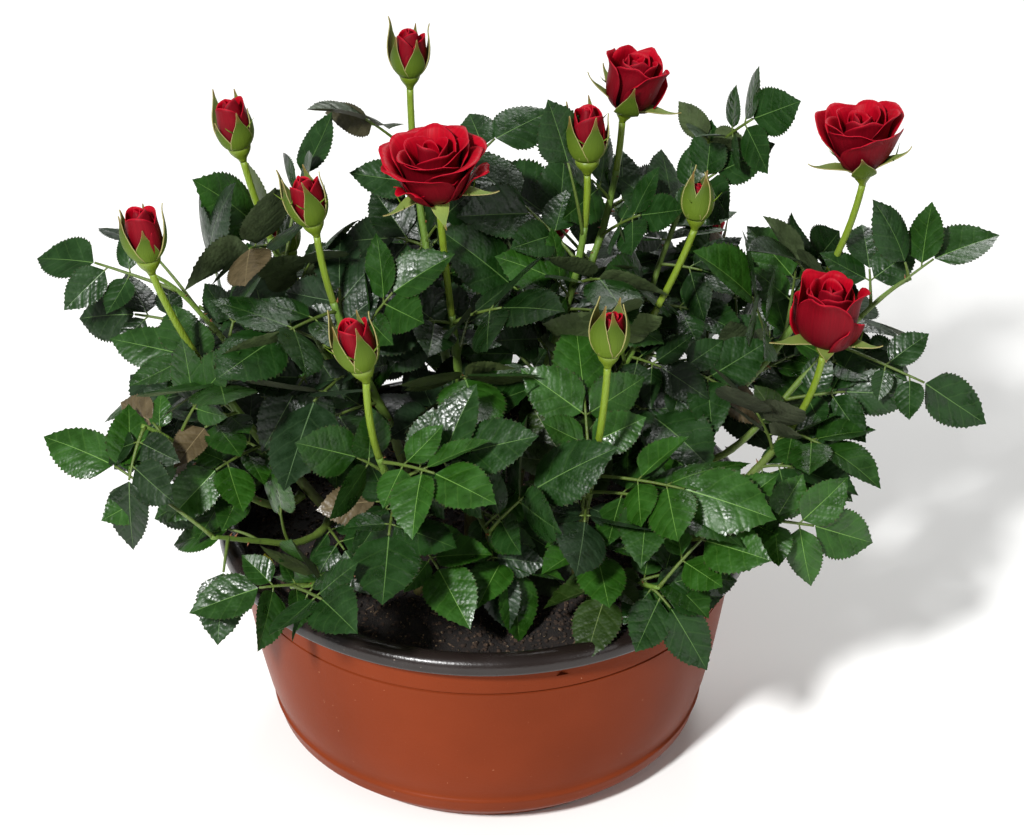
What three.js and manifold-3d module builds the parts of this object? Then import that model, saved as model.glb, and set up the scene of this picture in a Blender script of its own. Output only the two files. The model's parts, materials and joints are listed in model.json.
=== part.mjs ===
// A patio rose bush in a wide two-tone planting bowl.
// Units are millimetres, +Z is up, and the origin is the centre of the bowl's flat underside.
// Canes rise from the soil. Each one carries on as the stem of a mass of foliage, and most of those
// end in a flower stalk with a rose or a bud. Side shoots leave the canes as further masses.
import * as THREE from "three";
import { mergeVertices } from "three/addons/utils/BufferGeometryUtils.js";
import Module from "manifold-3d";

const wasm = await Module();
wasm.setup();

// ---- Driving dimensions ----------------------------------------------------------------------

const GAP = 0.3; // clearance between neighbouring solids
const AROUND = 30; // facets round the bowl
const SLIVER = 0.12; // detail finer than this is smoothed away where solids are fused

const BOWL = { baseR: 96.5, ribLowZ: 13, ribHighZ: 21.5, grooveZ: 97, topZ: 116, wall: 1.6, floor: 3 };
const RIM = { outerR: 135, topZ: 123, lipZ: 114.5, wall: 1.5, curl: 4 };
const SOIL_Z = 108; // level of the planting soil

const CANE_FOOT_R = 3.6; // radius at the soil, flared
const CANE_R = 2.7;
const STEM_R = 2.0; // leafy stem
const STALK_R = 1.5; // bare stalk under a bloom
const TWIG_R = 0.95; // leaf stalk

const LEAF_EVERY = 12; // spacing of leaves along a stem
const LEAF_REACH = 36; // from the stem to the foot of the end leaflet
const END_LEAFLET = 50;
const SIDE_LEAFLET = 43;
const LEAFLET_SHAPE = { width: 0.8, thick: 0.035, fold: 0.07, widest: 0.08 };
const PAIR_BACK = 17; // from the side leaflets' feet to the end leaflet's
const PAIR_WIDTH = 2.4; // length of stalk that their feet take up
const PAIR_TURN = 80; // degrees between a side leaflet and its leaf stalk
const GOLDEN_TURN = 137.5; // degrees from each leaf to the next
const LEAF_FLOOR = { z: 100, rise: 0.4 }; // how low leaves hang at the rim, and the rise of that outwards
const LEAVES = { fewest: 6, most: 8 }; // per mass
const LEAF_GAP = 0.45; // clearance that leaves keep from all but their own stem

// Forms that a leaf may take to fit: with both side leaflets or one, full size or smaller, and turned
// round its stem.
const LEAF_FORMS = [[1, 1], [1, 0], [0, 1]].flatMap((pair) =>
  [1, 0.8].flatMap((scale) => [0, 28, -28, 56, -56, 90, -90, 140].map((turn) => ({ turn, scale, pair }))),
);

// Flowering shoots. foot is where the cane leaves the soil, head is the foot of its bloom, lean is the
// stalk's sideways slope there, and bare is the length of stalk without leaves under the bloom.
// arch tells how far up and out the cane's lower half is drawn.
const FLOWERING = {
  top: { foot: [-14, 28], head: [-37, 70, 319], bloom: "bud", bare: 30 },
  upper_left: {
    foot: [-42, 16], head: [-116, 30, 299], bloom: "bud", bare: 42,
    lean: [-0.2, 0], arch: [0.35, 0.3],
  },
  centre: { foot: [-8, -8], head: [-21, -10, 293], bloom: "rose", width: 56, bare: 64, lean: [-0.05, -0.25] },
  mid_left: { foot: [-34, -12], head: [-78, -20, 284], bloom: "bud", bare: 36, lean: [-0.1, 0] },
  left: {
    foot: [-60, -22], head: [-153, -40, 275], bloom: "bud", bare: 50,
    lean: [-0.3, 0], arch: [0.3, 0.35],
  },
  upper_right: { foot: [24, 32], head: [67, 70, 301], bloom: "rose", width: 37, bare: 26, lean: [0.04, 0] },
  mid_right: { foot: [14, 6], head: [49, 30, 292], bloom: "bud", bare: 28, lean: [-0.03, 0] },
  right_inner: { foot: [40, 0], head: [100, 10, 272], bloom: "bud", bare: 66, lean: [0.32, 0.04] },
  front_right: { foot: [44, -60], head: [56, -80, 248], bloom: "bud", bare: 64, lean: [0.04, 0] },
  front_left: { foot: [-32, -58], head: [-52, -100, 252], bloom: "bud", bare: 48 },
  right: {
    foot: [62, 14], head: [180, 20, 291], bloom: "rose", width: 46, bare: 60,
    lean: [0.14, 0], arch: [0.25, 0.4],
  },
  right_low: {
    foot: [70, -22], head: [160, -30, 225], bloom: "rose", width: 40, bare: 44,
    lean: [0.1, 0], arch: [0.15, 0.45],
  },
  rear_left: {
    foot: [-38, 52], head: [-106, 138, 186], bloom: "bud", bare: 32,
    lean: [-0.3, 0.4], arch: [0.4, 0.25],
  },
  rear: {
    foot: [-6, 66], head: [22, 156, 166], bloom: "rose", width: 42, bare: 32,
    lean: [0.1, 0.6], arch: [0.45, 0.25],
  },
  rear_right: {
    foot: [44, 48], head: [112, 136, 184], bloom: "bud", bare: 32,
    lean: [0.3, 0.4], arch: [0.4, 0.25],
  },
};
const BARE_CANE = 0.28; // share of a flowering shoot below its leaves
const ARCH = [0.45, 0.1];

// Side shoots that bear leaves only. from and at say which cane they leave, and where along its shoot.
const SIDE_SHOOTS = {
  wing_upper_left: { from: "upper_left", at: 0.27, head: [-158, 0, 252] },
  wing_left: { from: "left", at: 0.27, head: [-160, -62, 206] },
  wing_low_left: { from: "left", at: 0.16, head: [-128, -84, 158] },
  skirt_front_left: { from: "front_left", at: 0.2, head: [-90, -104, 144] },
  skirt_front: { from: "centre", at: 0.14, head: [2, -78, 156] },
  skirt_front_right: { from: "front_right", at: 0.2, head: [82, -102, 142] },
  wing_low_right: { from: "right_low", at: 0.2, head: [130, -74, 162] },
  wing_right: { from: "right", at: 0.26, head: [204, 2, 250] },
  crest_right: { from: "upper_right", at: 0.27, head: [112, 62, 290] },
  wing_rear_left: { from: "rear_left", at: 0.26, head: [-150, 84, 190] },
  wing_rear_right: { from: "rear_right", at: 0.26, head: [158, 80, 196] },
  skirt_rear: { from: "rear", at: 0.22, head: [-44, 132, 160] },
};

// ---- Colours ----------------------------------------------------------------------------------

const paint = (color, roughness) => new THREE.MeshStandardMaterial({ color, roughness, metalness: 0 });
const MATERIALS = {
  bowl: paint(0x9c4526, 0.45),
  rim: paint(0x241f1e, 0.4),
  soil: paint(0x241a14, 0.95),
  cane: paint(0x4c6a2a, 0.6),
  foliage: paint(0x1f4a20, 0.35),
  rose: paint(0xa3101f, 0.6),
};

// ---- Helpers ----------------------------------------------------------------------------------

const UP = new THREE.Vector3(0, 0, 1);
const rad = THREE.MathUtils.degToRad;
const vec = (x, y, z) => new THREE.Vector3(x, y, z);

// A repeatable source of numbers from 0 to 1.
function randomFrom(seed) {
  let state = seed >>> 0;
  return () => {
    state = (Math.imul(state, 1664525) + 1013904223) >>> 0;
    return state / 4294967296;
  };
}

// A closed geometry as a solid that can be joined and compared.
function solidFrom(geometry) {
  const bare = new THREE.BufferGeometry();
  bare.setAttribute("position", geometry.getAttribute("position"));
  bare.setIndex(geometry.index);
  const merged = mergeVertices(bare, 1e-4);
  return new wasm.Manifold(
    new wasm.Mesh({
      numProp: 3,
      vertProperties: new Float32Array(merged.attributes.position.array),
      triVerts: new Uint32Array(merged.index.array),
    }),
  );
}

function geometryFrom(solid) {
  const mesh = solid.getMesh();
  const geometry = new THREE.BufferGeometry();
  geometry.setAttribute("position", new THREE.BufferAttribute(mesh.vertProperties, 3));
  geometry.setIndex(new THREE.BufferAttribute(mesh.triVerts, 1));
  return geometry;
}

// The joined solid's largest piece: a scrap that fusing leaves loose is dropped, and slivers are smoothed away.
function fuse(solids) {
  const pieces = wasm.Manifold.union(solids).simplify(SLIVER).decompose();
  return pieces.sort((a, b) => b.volume() - a.volume())[0];
}

function meshFrom(points, faces) {
  const geometry = new THREE.BufferGeometry();
  geometry.setAttribute("position", new THREE.Float32BufferAttribute(points.flat(), 3));
  geometry.setIndex(faces.flat());
  return geometry;
}

// A closed skin over rings of points, each ring turning left about the way to the next. The foot is flat,
// and so is the top, unless a peak is given for it to close on.
function skin(rings, peak) {
  const around = rings[0].length;
  const points = rings.flat();
  const faces = [];
  rings.slice(1).forEach((_, row) => {
    for (let k = 0; k < around; k += 1) {
      const a = row * around + k;
      const b = row * around + ((k + 1) % around);
      if (k % 2) faces.push([a, b, b + around], [a, b + around, a + around]);
      else faces.push([a, b, a + around], [b, b + around, a + around]);
    }
  });
  const last = points.length - around;
  for (let k = 1; k < around - 1; k += 1) {
    faces.push([0, k + 1, k]);
    if (!peak) faces.push([last, last + k, last + k + 1]);
  }
  if (peak) {
    for (let k = 0; k < around; k += 1) faces.push([points.length, last + k, last + ((k + 1) % around)]);
    points.push(peak);
  }
  return meshFrom(points, faces);
}

// Rings of a tapering limb along a stretch of a curve. A rooted limb's first ring lies level.
function limbRings(curve, from, to, radius, steps, sides, rooted = false) {
  let side = vec(1, 0, 0);
  return Array.from({ length: steps + 1 }, (_, i) => {
    const t = from + ((to - from) * i) / steps;
    const centre = curve.getPoint(t);
    const along = rooted && i === 0 ? UP : curve.getTangent(t);
    side = side.clone().addScaledVector(along, -side.dot(along)).normalize();
    const other = along.clone().cross(side);
    return Array.from({ length: sides }, (_, k) => {
      const turn = (k / sides) * 2 * Math.PI;
      const r = radius(i / steps);
      return centre
        .clone()
        .addScaledVector(side, Math.cos(turn) * r)
        .addScaledVector(other, Math.sin(turn) * r)
        .toArray();
    });
  });
}

// A ring or disc turned about the upright axis from [radius, height] pairs, listed with the solid on the left.
function turned(profile, around = AROUND) {
  const points = profile.map(([r, z]) => new THREE.Vector2(r, z));
  return new THREE.LatheGeometry(points, around).rotateX(Math.PI / 2);
}

// ---- Bowl, rim and soil -----------------------------------------------------------------------

// The bowl's outer profile, from the middle of its flat underside up to its top edge.
const BOWL_SIDE = [
  [BOWL.baseR - 3, 0],
  [BOWL.baseR, 1.6],
  [104.6, 8.6],
  [107, BOWL.ribLowZ - 0.6],
  [109.4, BOWL.ribLowZ],
  [111.8, BOWL.ribHighZ],
  [110.8, BOWL.ribHighZ + 0.7],
  [114.2, 34],
  [117.9, 52],
  [121.4, 75],
  [124.4, BOWL.grooveZ],
  [126.6, BOWL.topZ],
];

// Radius of the bowl's outside at a height.
function bowlRadius(z) {
  const i = Math.max(1, BOWL_SIDE.findIndex(([, height]) => height >= z));
  const [r0, z0] = BOWL_SIDE[i - 1];
  const [r1, z1] = BOWL_SIDE[i];
  return r0 + ((r1 - r0) * (z - z0)) / (z1 - z0);
}

// The wall's inner face is straight between these heights.
const INNER_Z = [BOWL.topZ, 34, 12];
const innerRadius = (z) => bowlRadius(z) - BOWL.wall - (z < 20 ? 3 : 0);

// Radius at a height on a face that lies a given distance inside the bowl's inner face.
function nestedRadius(z, inset) {
  const [top, middle, low] = INNER_Z;
  const [z0, z1] = z > middle ? [middle, top] : [low, middle];
  const share = Math.min(1, (z - z0) / (z1 - z0));
  return innerRadius(z0) + (innerRadius(z1) - innerRadius(z0)) * share - inset;
}

function bowl() {
  const inner = INNER_Z.map((z) => [innerRadius(z), z]);
  return turned([[0, 0], ...BOWL_SIDE, ...inner, [BOWL.baseR - 6, BOWL.floor], [0, BOWL.floor]]);
}

// The black inner bowl carries the rolled rim.
const LINER_INSET = 0.45;

function rim() {
  const { outerR, topZ, lipZ, wall, curl } = RIM;
  const neckR = nestedRadius(BOWL.topZ, LINER_INSET);
  const floorZ = BOWL.floor + 0.4;
  const outside = [
    [BOWL.baseR - 7, floorZ],
    [nestedRadius(12, LINER_INSET), 12],
    [nestedRadius(34, LINER_INSET), 34],
    [neckR, BOWL.topZ + GAP],
    [outerR - 3, BOWL.topZ + GAP],
    [outerR - 2, lipZ],
    [outerR, lipZ + 0.6],
    [outerR - 0.4, topZ - curl],
    [outerR - 3, topZ - 0.6],
    [outerR - 6.5, topZ],
    [neckR - wall + 1.2, topZ - 1.2],
    [neckR - wall, BOWL.topZ],
  ];
  const inside = [34, 12].map((z) => [nestedRadius(z, LINER_INSET + wall), z]);
  return turned([[0, floorZ], ...outside, ...inside, [BOWL.baseR - 9, floorZ + wall], [0, floorZ + wall]]);
}

function soil() {
  const side = (z) => [nestedRadius(z, LINER_INSET + RIM.wall + GAP + 0.05), z];
  const floorZ = BOWL.floor + RIM.wall + 0.4 + GAP;
  return turned([[0, floorZ], [BOWL.baseR - 10, floorZ], side(12), side(34), side(SOIL_Z), [0, SOIL_Z]]);
}

// ---- Shoots -----------------------------------------------------------------------------------

function floweringCurve({ foot, head, lean = [0, 0], arch = ARCH }) {
  const start = vec(foot[0], foot[1], SOIL_Z + GAP);
  const end = vec(...head);
  const rise = end.z - start.z;
  const heading = vec(lean[0], lean[1], 1).normalize();
  const low = start.clone().add(vec((end.x - start.x) * arch[1], (end.y - start.y) * arch[1], rise * arch[0]));
  return new THREE.CubicBezierCurve3(start, low, end.clone().addScaledVector(heading, -0.4 * rise), end);
}

// A side shoot leaves its cane square to the bark, rises and bends outwards.
function sideCurve({ from, at, head }) {
  const parent = curves[from];
  const root = parent.getPoint(at);
  const end = vec(...head);
  const way = end.clone().sub(root);
  const along = parent.getTangent(at);
  const out = way.clone().addScaledVector(along, -way.dot(along)).normalize();
  const start = root.clone().addScaledVector(out, CANE_R + GAP + STEM_R * 0.35);
  const low = start.clone().addScaledVector(out, way.length() * 0.3);
  const high = end.clone().sub(vec(way.x * 0.3, way.y * 0.3, way.z * 0.1 + 8));
  return new THREE.CubicBezierCurve3(start, low, high, end);
}

const curves = {};
for (const [name, shoot] of Object.entries(FLOWERING)) curves[name] = floweringCurve(shoot);
for (const [name, shoot] of Object.entries(SIDE_SHOOTS)) curves[name] = sideCurve(shoot);

// The share of a shoot's length that a clearance takes.
const gapShare = (name) => GAP / curves[name].getLength();

// The stretch of a shoot that bears leaves, as shares of its length.
function leafyStretch(name) {
  if (!(name in FLOWERING)) return [0, 1];
  return [BARE_CANE, 1 - FLOWERING[name].bare / curves[name].getLength()];
}

function cane(name) {
  const flare = (share) => CANE_R + (CANE_FOOT_R - CANE_R) * Math.max(0, 1 - share * 6);
  return skin(limbRings(curves[name], 0, BARE_CANE - gapShare(name), flare, 4, 6, true));
}

function stem(name) {
  const flowers = name in FLOWERING;
  const [from, to] = leafyStretch(name);
  const radius = (share) => STEM_R - (STEM_R - (flowers ? STALK_R : TWIG_R)) * share;
  return skin(limbRings(curves[name], from, to, radius, 4, 5));
}

// ---- Blooms -----------------------------------------------------------------------------------

// A bloom's rings from hip to heart. Each holds two [radius, height] points that take turns: one for its
// five ridges, which are sepals or petals, and one for the hollows between them.
const evenRing = (r, z) => [[r, z], [r, z]];

const roseRings = (r) => [
  evenRing(4.8, 3.5),
  [[19, 9], [6, 5.5]],
  evenRing(5.6, 8),
  [[r * 0.72, 14], [r * 0.66, 15]],
  [[r, 27], [r * 0.86, 30]],
  evenRing(r * 0.72, 22),
  [[r * 0.66, 31], [r * 0.76, 32]],
  evenRing(r * 0.45, 25),
  evenRing(r * 0.3, 33),
];

const BUD_RINGS = [
  evenRing(4.6, 3.5),
  [[9.8, 13], [8, 12]],
  [[14, 30], [8.4, 14]],
  evenRing(8, 17),
  evenRing(7.6, 25),
  evenRing(3, 33),
];

// A bare stalk that swells into the hip of its bloom.
function flower(name) {
  const { bloom, width, lean = [0, 0] } = FLOWERING[name];
  const curve = curves[name];
  const around = 10;
  const pose = new THREE.Matrix4().makeRotationFromQuaternion(
    new THREE.Quaternion().setFromUnitVectors(UP, vec(lean[0], lean[1], 1).normalize()),
  );
  pose.setPosition(curve.getPoint(1));
  const posed = (r, turn, z) => vec(r * Math.cos(turn), r * Math.sin(turn), z).applyMatrix4(pose).toArray();
  const head = (bloom === "rose" ? roseRings(width / 2) : BUD_RINGS).map((ring) =>
    Array.from({ length: around }, (_, k) => posed(ring[k % 2][0], (2 * Math.PI * k) / around, ring[k % 2][1])),
  );
  const stalk = limbRings(curve, leafyStretch(name)[1] + gapShare(name), 1, () => STALK_R, 2, around);
  return skin([...stalk, ...head], posed(0, 0, bloom === "rose" ? 31 : 35));
}

// ---- Leaves -----------------------------------------------------------------------------------

// One leaf of a shoot: where its stalk starts, which way it reaches, how long it is and which way it faces.
function leafPlan(name, index, count, random) {
  const flowers = name in FLOWERING;
  const [from, to] = leafyStretch(name);
  const first = flowers ? from + 0.03 : 0.3;
  const share = index / (count - 1);
  const curve = curves[name];
  const root = curve.getPoint(first + (to - first - 0.02) * share);
  const along = curve.getTangent(first + (to - first - 0.02) * share);
  const side = vec(1, 0, 0).addScaledVector(along, -along.x).normalize();
  const outward = vec(root.x, root.y, 0).normalize();
  return {
    root,
    along,
    side,
    turn: rad(index * GOLDEN_TURN + (index === 0 ? 360 : 20) * random()),
    outward,
    reach: LEAF_REACH * (0.8 + 0.4 * random()),
    droop: 0.05 + 0.3 * random(),
    facing: vec(random() - 0.5, random() - 0.5, 0),
    size: (0.88 + 0.24 * random()) * (flowers ? 1.04 - 0.16 * share : 1),
  };
}

// The points where a leaflet is widest: behind, above, before and below its midrib, then its tip.
// turn swings it from the leaf's heading, to the left when positive.
function bladePoints(foot, length, turn) {
  const { width, thick, fold, widest } = LEAFLET_SHAPE;
  const along = vec(Math.cos(rad(turn)), Math.sin(rad(turn)), 0);
  const ahead = vec(Math.abs(along.y), -along.x * Math.sign(turn || 1), 0);
  const middle = foot.clone().addScaledVector(along, length * (0.5 - widest));
  const at = (across, up) => middle.clone().addScaledVector(ahead, across * length).add(vec(0, 0, up * length));
  return [
    at(-width / 2, fold),
    at(0, thick / 2),
    at(width / 2, fold),
    at(0, -thick / 2),
    foot.clone().addScaledVector(along, length),
  ];
}

// A whole leaf in its own frame: it reaches along x, faces along z, and its end leaflet starts at the
// origin. root is the foot of its stalk, and pair tells which side leaflets it bears.
function leafGeometry(root, size, pair) {
  const joint = root.clone().multiplyScalar((PAIR_BACK * size) / root.length());
  const step = root.clone().setLength(PAIR_WIDTH / 2);
  const ring = (centre, r) => [
    vec(centre.x, centre.y - r, centre.z - r * 0.6),
    vec(centre.x, centre.y + r, centre.z - r * 0.6),
    vec(centre.x, centre.y, centre.z + r),
  ];
  const points = [
    ...ring(root, TWIG_R),
    ...ring(joint.clone().add(step), TWIG_R * 0.85),
    ...ring(joint.clone().sub(step), TWIG_R * 0.85),
    ...ring(vec(0, 0, 0), TWIG_R * 0.7),
  ];
  const faces = [[0, 2, 1]];
  const quad = (a, b, c, d) => faces.push([a, b, c], [a, c, d]);
  // A leaflet grows out of the opening between four corners.
  const leaflet = (corners, widest, tip) => {
    const first = points.length;
    points.push(...widest, tip);
    corners.forEach((corner, i) => {
      const next = (i + 1) % 4;
      faces.push([corner, corners[next], first + i]);
      faces.push([corners[next], first + next, first + i]);
      faces.push([first + i, first + next, first + 4]);
    });
  };
  for (const row of [0, 6]) {
    for (const [a, b] of [[0, 1], [1, 2], [2, 0]]) quad(row + a, row + b, row + b + 3, row + a + 3);
  }
  quad(3, 4, 7, 6);
  const [left, right] = pair;
  const foot = joint.clone();
  if (left) {
    const [behind, above, before, below, tip] = bladePoints(foot, SIDE_LEAFLET * size, PAIR_TURN);
    leaflet([4, 5, 8, 7], [behind, above, before, below], tip);
  } else quad(4, 5, 8, 7);
  if (right) {
    const [behind, above, before, below, tip] = bladePoints(foot, SIDE_LEAFLET * size, -PAIR_TURN);
    leaflet([5, 3, 6, 8], [behind, below, before, above], tip);
  } else quad(5, 3, 6, 8);
  const [sideA, above, sideB, below, tip] = bladePoints(vec(0, 0, 0), END_LEAFLET * size, 0);
  const end = points.length;
  points.push(sideA, above, sideB, below, tip);
  const [lowRight, lowLeft, crown] = [9, 10, 11];
  faces.push([lowLeft, crown, end], [crown, end + 1, end], [crown, end + 2, end + 1]);
  faces.push([crown, lowRight, end + 2], [end + 2, lowRight, end + 3], [lowRight, lowLeft, end + 3]);
  faces.push([lowLeft, end, end + 3]);
  for (const [a, b] of [[0, 1], [1, 2], [2, 3], [3, 0]]) faces.push([end + a, end + b, end + 4]);
  return meshFrom(points.map((p) => p.toArray()), faces);
}

// The leaf as a solid, turned by extra degrees round the stem.
function leafSolid(plan, extra, scale, pair) {
  const { root, along, side, outward } = plan;
  const heading = side
    .clone()
    .applyAxisAngle(along, plan.turn + rad(extra))
    .multiplyScalar(0.85)
    .addScaledVector(along, 0.4)
    .addScaledVector(outward, 0.2)
    .addScaledVector(UP, 0.2)
    .normalize();
  const reach = plan.reach * scale;
  const end = root.clone().addScaledVector(heading, reach).addScaledVector(UP, -plan.droop * reach);
  const x = end.clone().sub(root).normalize().addScaledVector(UP, -0.2).normalize();
  const normal = UP.clone().multiplyScalar(0.75).addScaledVector(outward, 0.35).add(plan.facing);
  const z = normal.clone().addScaledVector(x, -normal.dot(x)).normalize();
  const pose = new THREE.Matrix4().makeBasis(x, z.clone().cross(x), z).setPosition(end);
  const ownRoot = root.clone().applyMatrix4(pose.clone().invert());
  return solidFrom(leafGeometry(ownRoot, plan.size * scale, pair).applyMatrix4(pose));
}

const boxesMeet = (a, b) => [0, 1, 2].every((i) => a.min[i] - 1 < b.max[i] && b.min[i] - 1 < a.max[i]);

// Solids that leaves keep clear of.
const placed = [];
const place = (solid) => placed.push({ solid, box: solid.boundingBox() });

function keepsClear(solid, ownStem) {
  const box = solid.boundingBox();
  const clearOf = (other) => !boxesMeet(box, other.box) || solid.minGap(other.solid, 1) >= LEAF_GAP;
  return placed.every((other) => other.solid === ownStem || clearOf(other));
}

// Each mass keeps to its own space: a leaf's middle is nearer to its own stem than to the others,
// bar a little give where masses mingle.
const stemPoints = {};
for (const name of Object.keys(curves)) {
  const [from, to] = leafyStretch(name);
  stemPoints[name] = Array.from({ length: 9 }, (_, i) => curves[name].getPoint(from + ((to - from) * i) / 8));
}

function inOwnSpace(solid, name) {
  const { min, max } = solid.boundingBox();
  const middle = vec((min[0] + max[0]) / 2, (min[1] + max[1]) / 2, (min[2] + max[2]) / 2);
  const distance = (key) => Math.min(...stemPoints[key].map((p) => p.distanceTo(middle)));
  const own = distance(name);
  return Object.keys(curves).every((key) => key === name || own < distance(key) * 1.15);
}

// Leaves stay over the soil and the rim, and hang a little way down outside it.
function clearOfBowl(solid) {
  const { min, max } = solid.boundingBox();
  const nearest = Math.hypot(Math.max(0, min[0], -max[0]), Math.max(0, min[1], -max[1]));
  const farthest = Math.hypot(Math.max(-min[0], max[0]), Math.max(-min[1], max[1]));
  if (nearest > RIM.outerR + 1) return min[2] > LEAF_FLOOR.z + LEAF_FLOOR.rise * (nearest - RIM.outerR);
  return min[2] > (farthest < RIM.outerR - 14 ? SOIL_Z + 2 : RIM.topZ + 1);
}

// ---- Assembly ---------------------------------------------------------------------------------

const bush = new THREE.Group();
function addNode(name, geometry, material) {
  const mesh = new THREE.Mesh(geometry, material);
  mesh.name = name;
  bush.add(mesh);
}

addNode("bowl", bowl(), MATERIALS.bowl);
addNode("rim", rim(), MATERIALS.rim);
addNode("soil", soil(), MATERIALS.soil);

for (const name of Object.keys(FLOWERING)) {
  const limbOf = cane(name);
  place(solidFrom(limbOf));
  addNode(`cane_${name}`, limbOf, MATERIALS.cane);
  const bloom = flower(name);
  place(solidFrom(bloom));
  addNode(`${FLOWERING[name].bloom}_${name}`, bloom, MATERIALS.rose);
}

const masses = Object.keys(curves).map((name, i) => {
  const [from, to] = leafyStretch(name);
  const wanted = Math.round((curves[name].getLength() * (to - from)) / LEAF_EVERY);
  const count = Math.min(LEAVES.most, Math.max(LEAVES.fewest, wanted));
  const random = randomFrom(101 + 7919 * i);
  const plans = Array.from({ length: count }, (_, k) => leafPlan(name, k, count, random));
  return { name, plans, solids: [solidFrom(stem(name))] };
});
for (const { solids } of masses) place(solids[0]);

// The leaf in the first of its possible forms that fits, or nothing.
function fittingLeaf(name, plan, ownStem) {
  for (const { turn, scale, pair } of LEAF_FORMS) {
    const leaf = leafSolid(plan, turn, scale, pair);
    if (clearOfBowl(leaf) && inOwnSpace(leaf, name) && keepsClear(leaf, ownStem)) return leaf;
  }
  return null;
}

// Leaves are dealt out in turn from the stem tips down, so that no mass crowds out its neighbours.
for (let k = 1; k <= LEAVES.most; k += 1) {
  for (const { name, plans, solids } of masses) {
    const plan = plans[plans.length - k];
    const leaf = plan && fittingLeaf(name, plan, solids[0]);
    if (leaf) {
      solids.push(leaf);
      place(leaf);
    }
  }
}

for (const { name, solids } of masses) addNode(`leaves_${name}`, geometryFrom(fuse(solids)), MATERIALS.foliage);
export default bush;
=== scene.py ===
"""A patio rose in bud and bloom, planted in a plastic bowl with a rolled rim.

Lengths are in millimetres until a mesh is made, which holds metres.
"""

import json
import math

import bpy
import numpy as np
from mathutils import Matrix, Vector

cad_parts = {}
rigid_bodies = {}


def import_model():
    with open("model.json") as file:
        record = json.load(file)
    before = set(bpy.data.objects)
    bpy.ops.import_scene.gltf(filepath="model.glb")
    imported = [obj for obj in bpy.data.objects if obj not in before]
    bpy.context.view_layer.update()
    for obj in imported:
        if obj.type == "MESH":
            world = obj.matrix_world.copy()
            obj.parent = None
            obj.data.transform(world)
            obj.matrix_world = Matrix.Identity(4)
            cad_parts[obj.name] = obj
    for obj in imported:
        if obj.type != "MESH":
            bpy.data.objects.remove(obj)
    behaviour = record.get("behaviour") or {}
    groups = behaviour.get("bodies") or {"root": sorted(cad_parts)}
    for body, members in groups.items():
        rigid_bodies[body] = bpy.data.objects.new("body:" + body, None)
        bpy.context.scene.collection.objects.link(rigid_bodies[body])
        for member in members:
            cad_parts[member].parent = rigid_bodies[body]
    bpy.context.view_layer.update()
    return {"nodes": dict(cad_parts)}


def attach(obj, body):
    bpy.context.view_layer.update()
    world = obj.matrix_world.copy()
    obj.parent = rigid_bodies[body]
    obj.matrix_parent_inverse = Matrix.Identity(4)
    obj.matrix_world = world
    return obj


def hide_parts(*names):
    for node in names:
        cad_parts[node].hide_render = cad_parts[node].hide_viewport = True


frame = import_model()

bl_info = {
    "name": "Potted patio rose",
    "version": (1, 0, 0),
    "blender": (4, 5, 0),
    "location": "View3D > Sidebar > Rose",
    "description": "Builds a patio rose in bud and bloom in its planting bowl",
    "category": "Object",
}

MM = 0.001
UP = np.array([0.0, 0.0, 1.0])
WHOLE_TURN = 6.28  # in radians, as waves and random phases take it
GOLDEN_STEP = 2.4  # the turn in radians from one petal, or one wave of the soil, to the next

# ---- Sizes that the plant shares with its solids ------------------------------------------------

SOIL_Z = 108.0
GAP = 0.3
CANE_FOOT_R, CANE_R, STEM_R, STALK_R, TWIG_R = 3.6, 2.7, 2.0, 1.5, 0.95
LEAF_EVERY, LEAF_REACH, END_LEAFLET, SIDE_LEAFLET = 12, 36, 50, 43
PAIR_BACK, PAIR_TURN, GOLDEN_TURN = 17, 80, 137.5
BARE_CANE = 0.28
ARCH = (0.45, 0.1)
LEAF_SCALES = (1, 0.8)
LEAF_TURNS = (0, 28, -28, 56, -56, 90, -90, 140)
BUD_WIDTH = 22


def flowering(foot, head, bare, width=None, lean=(0, 0), arch=ARCH):
    """A shoot that bears a rose of a given width, or a bud where no width is given."""
    bloom = "rose" if width else "bud"
    return dict(foot=foot, head=head, bare=bare, bloom=bloom, width=width or BUD_WIDTH, lean=lean, arch=arch)


# Flowering shoots: where the cane leaves the soil, the foot of its bloom, the length of bare stalk, the width
# of a rose, the stalk's lean, and how far up and out the cane's lower half is drawn.
FLOWERING = {
    "top": flowering((-14, 28), (-37, 70, 319), 30),
    "upper_left": flowering((-42, 16), (-116, 30, 299), 42, lean=(-0.2, 0), arch=(0.35, 0.3)),
    "centre": flowering((-8, -8), (-21, -10, 293), 64, 56, lean=(-0.05, -0.25)),
    "mid_left": flowering((-34, -12), (-78, -20, 284), 36, lean=(-0.1, 0)),
    "left": flowering((-60, -22), (-153, -40, 275), 50, lean=(-0.3, 0), arch=(0.3, 0.35)),
    "upper_right": flowering((24, 32), (67, 70, 301), 26, 37, lean=(0.04, 0)),
    "mid_right": flowering((14, 6), (49, 30, 292), 28, lean=(-0.03, 0)),
    "right_inner": flowering((40, 0), (100, 10, 272), 66, lean=(0.32, 0.04)),
    "front_right": flowering((44, -60), (56, -80, 248), 64, lean=(0.04, 0)),
    "front_left": flowering((-32, -58), (-52, -100, 252), 48),
    "right": flowering((62, 14), (180, 20, 291), 60, 46, lean=(0.14, 0), arch=(0.25, 0.4)),
    "right_low": flowering((70, -22), (160, -30, 225), 44, 40, lean=(0.1, 0), arch=(0.15, 0.45)),
    "rear_left": flowering((-38, 52), (-106, 138, 186), 32, lean=(-0.3, 0.4), arch=(0.4, 0.25)),
    "rear": flowering((-6, 66), (22, 156, 166), 32, 42, lean=(0.1, 0.6), arch=(0.45, 0.25)),
    "rear_right": flowering((44, 48), (112, 136, 184), 32, lean=(0.3, 0.4), arch=(0.4, 0.25)),
}

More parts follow.
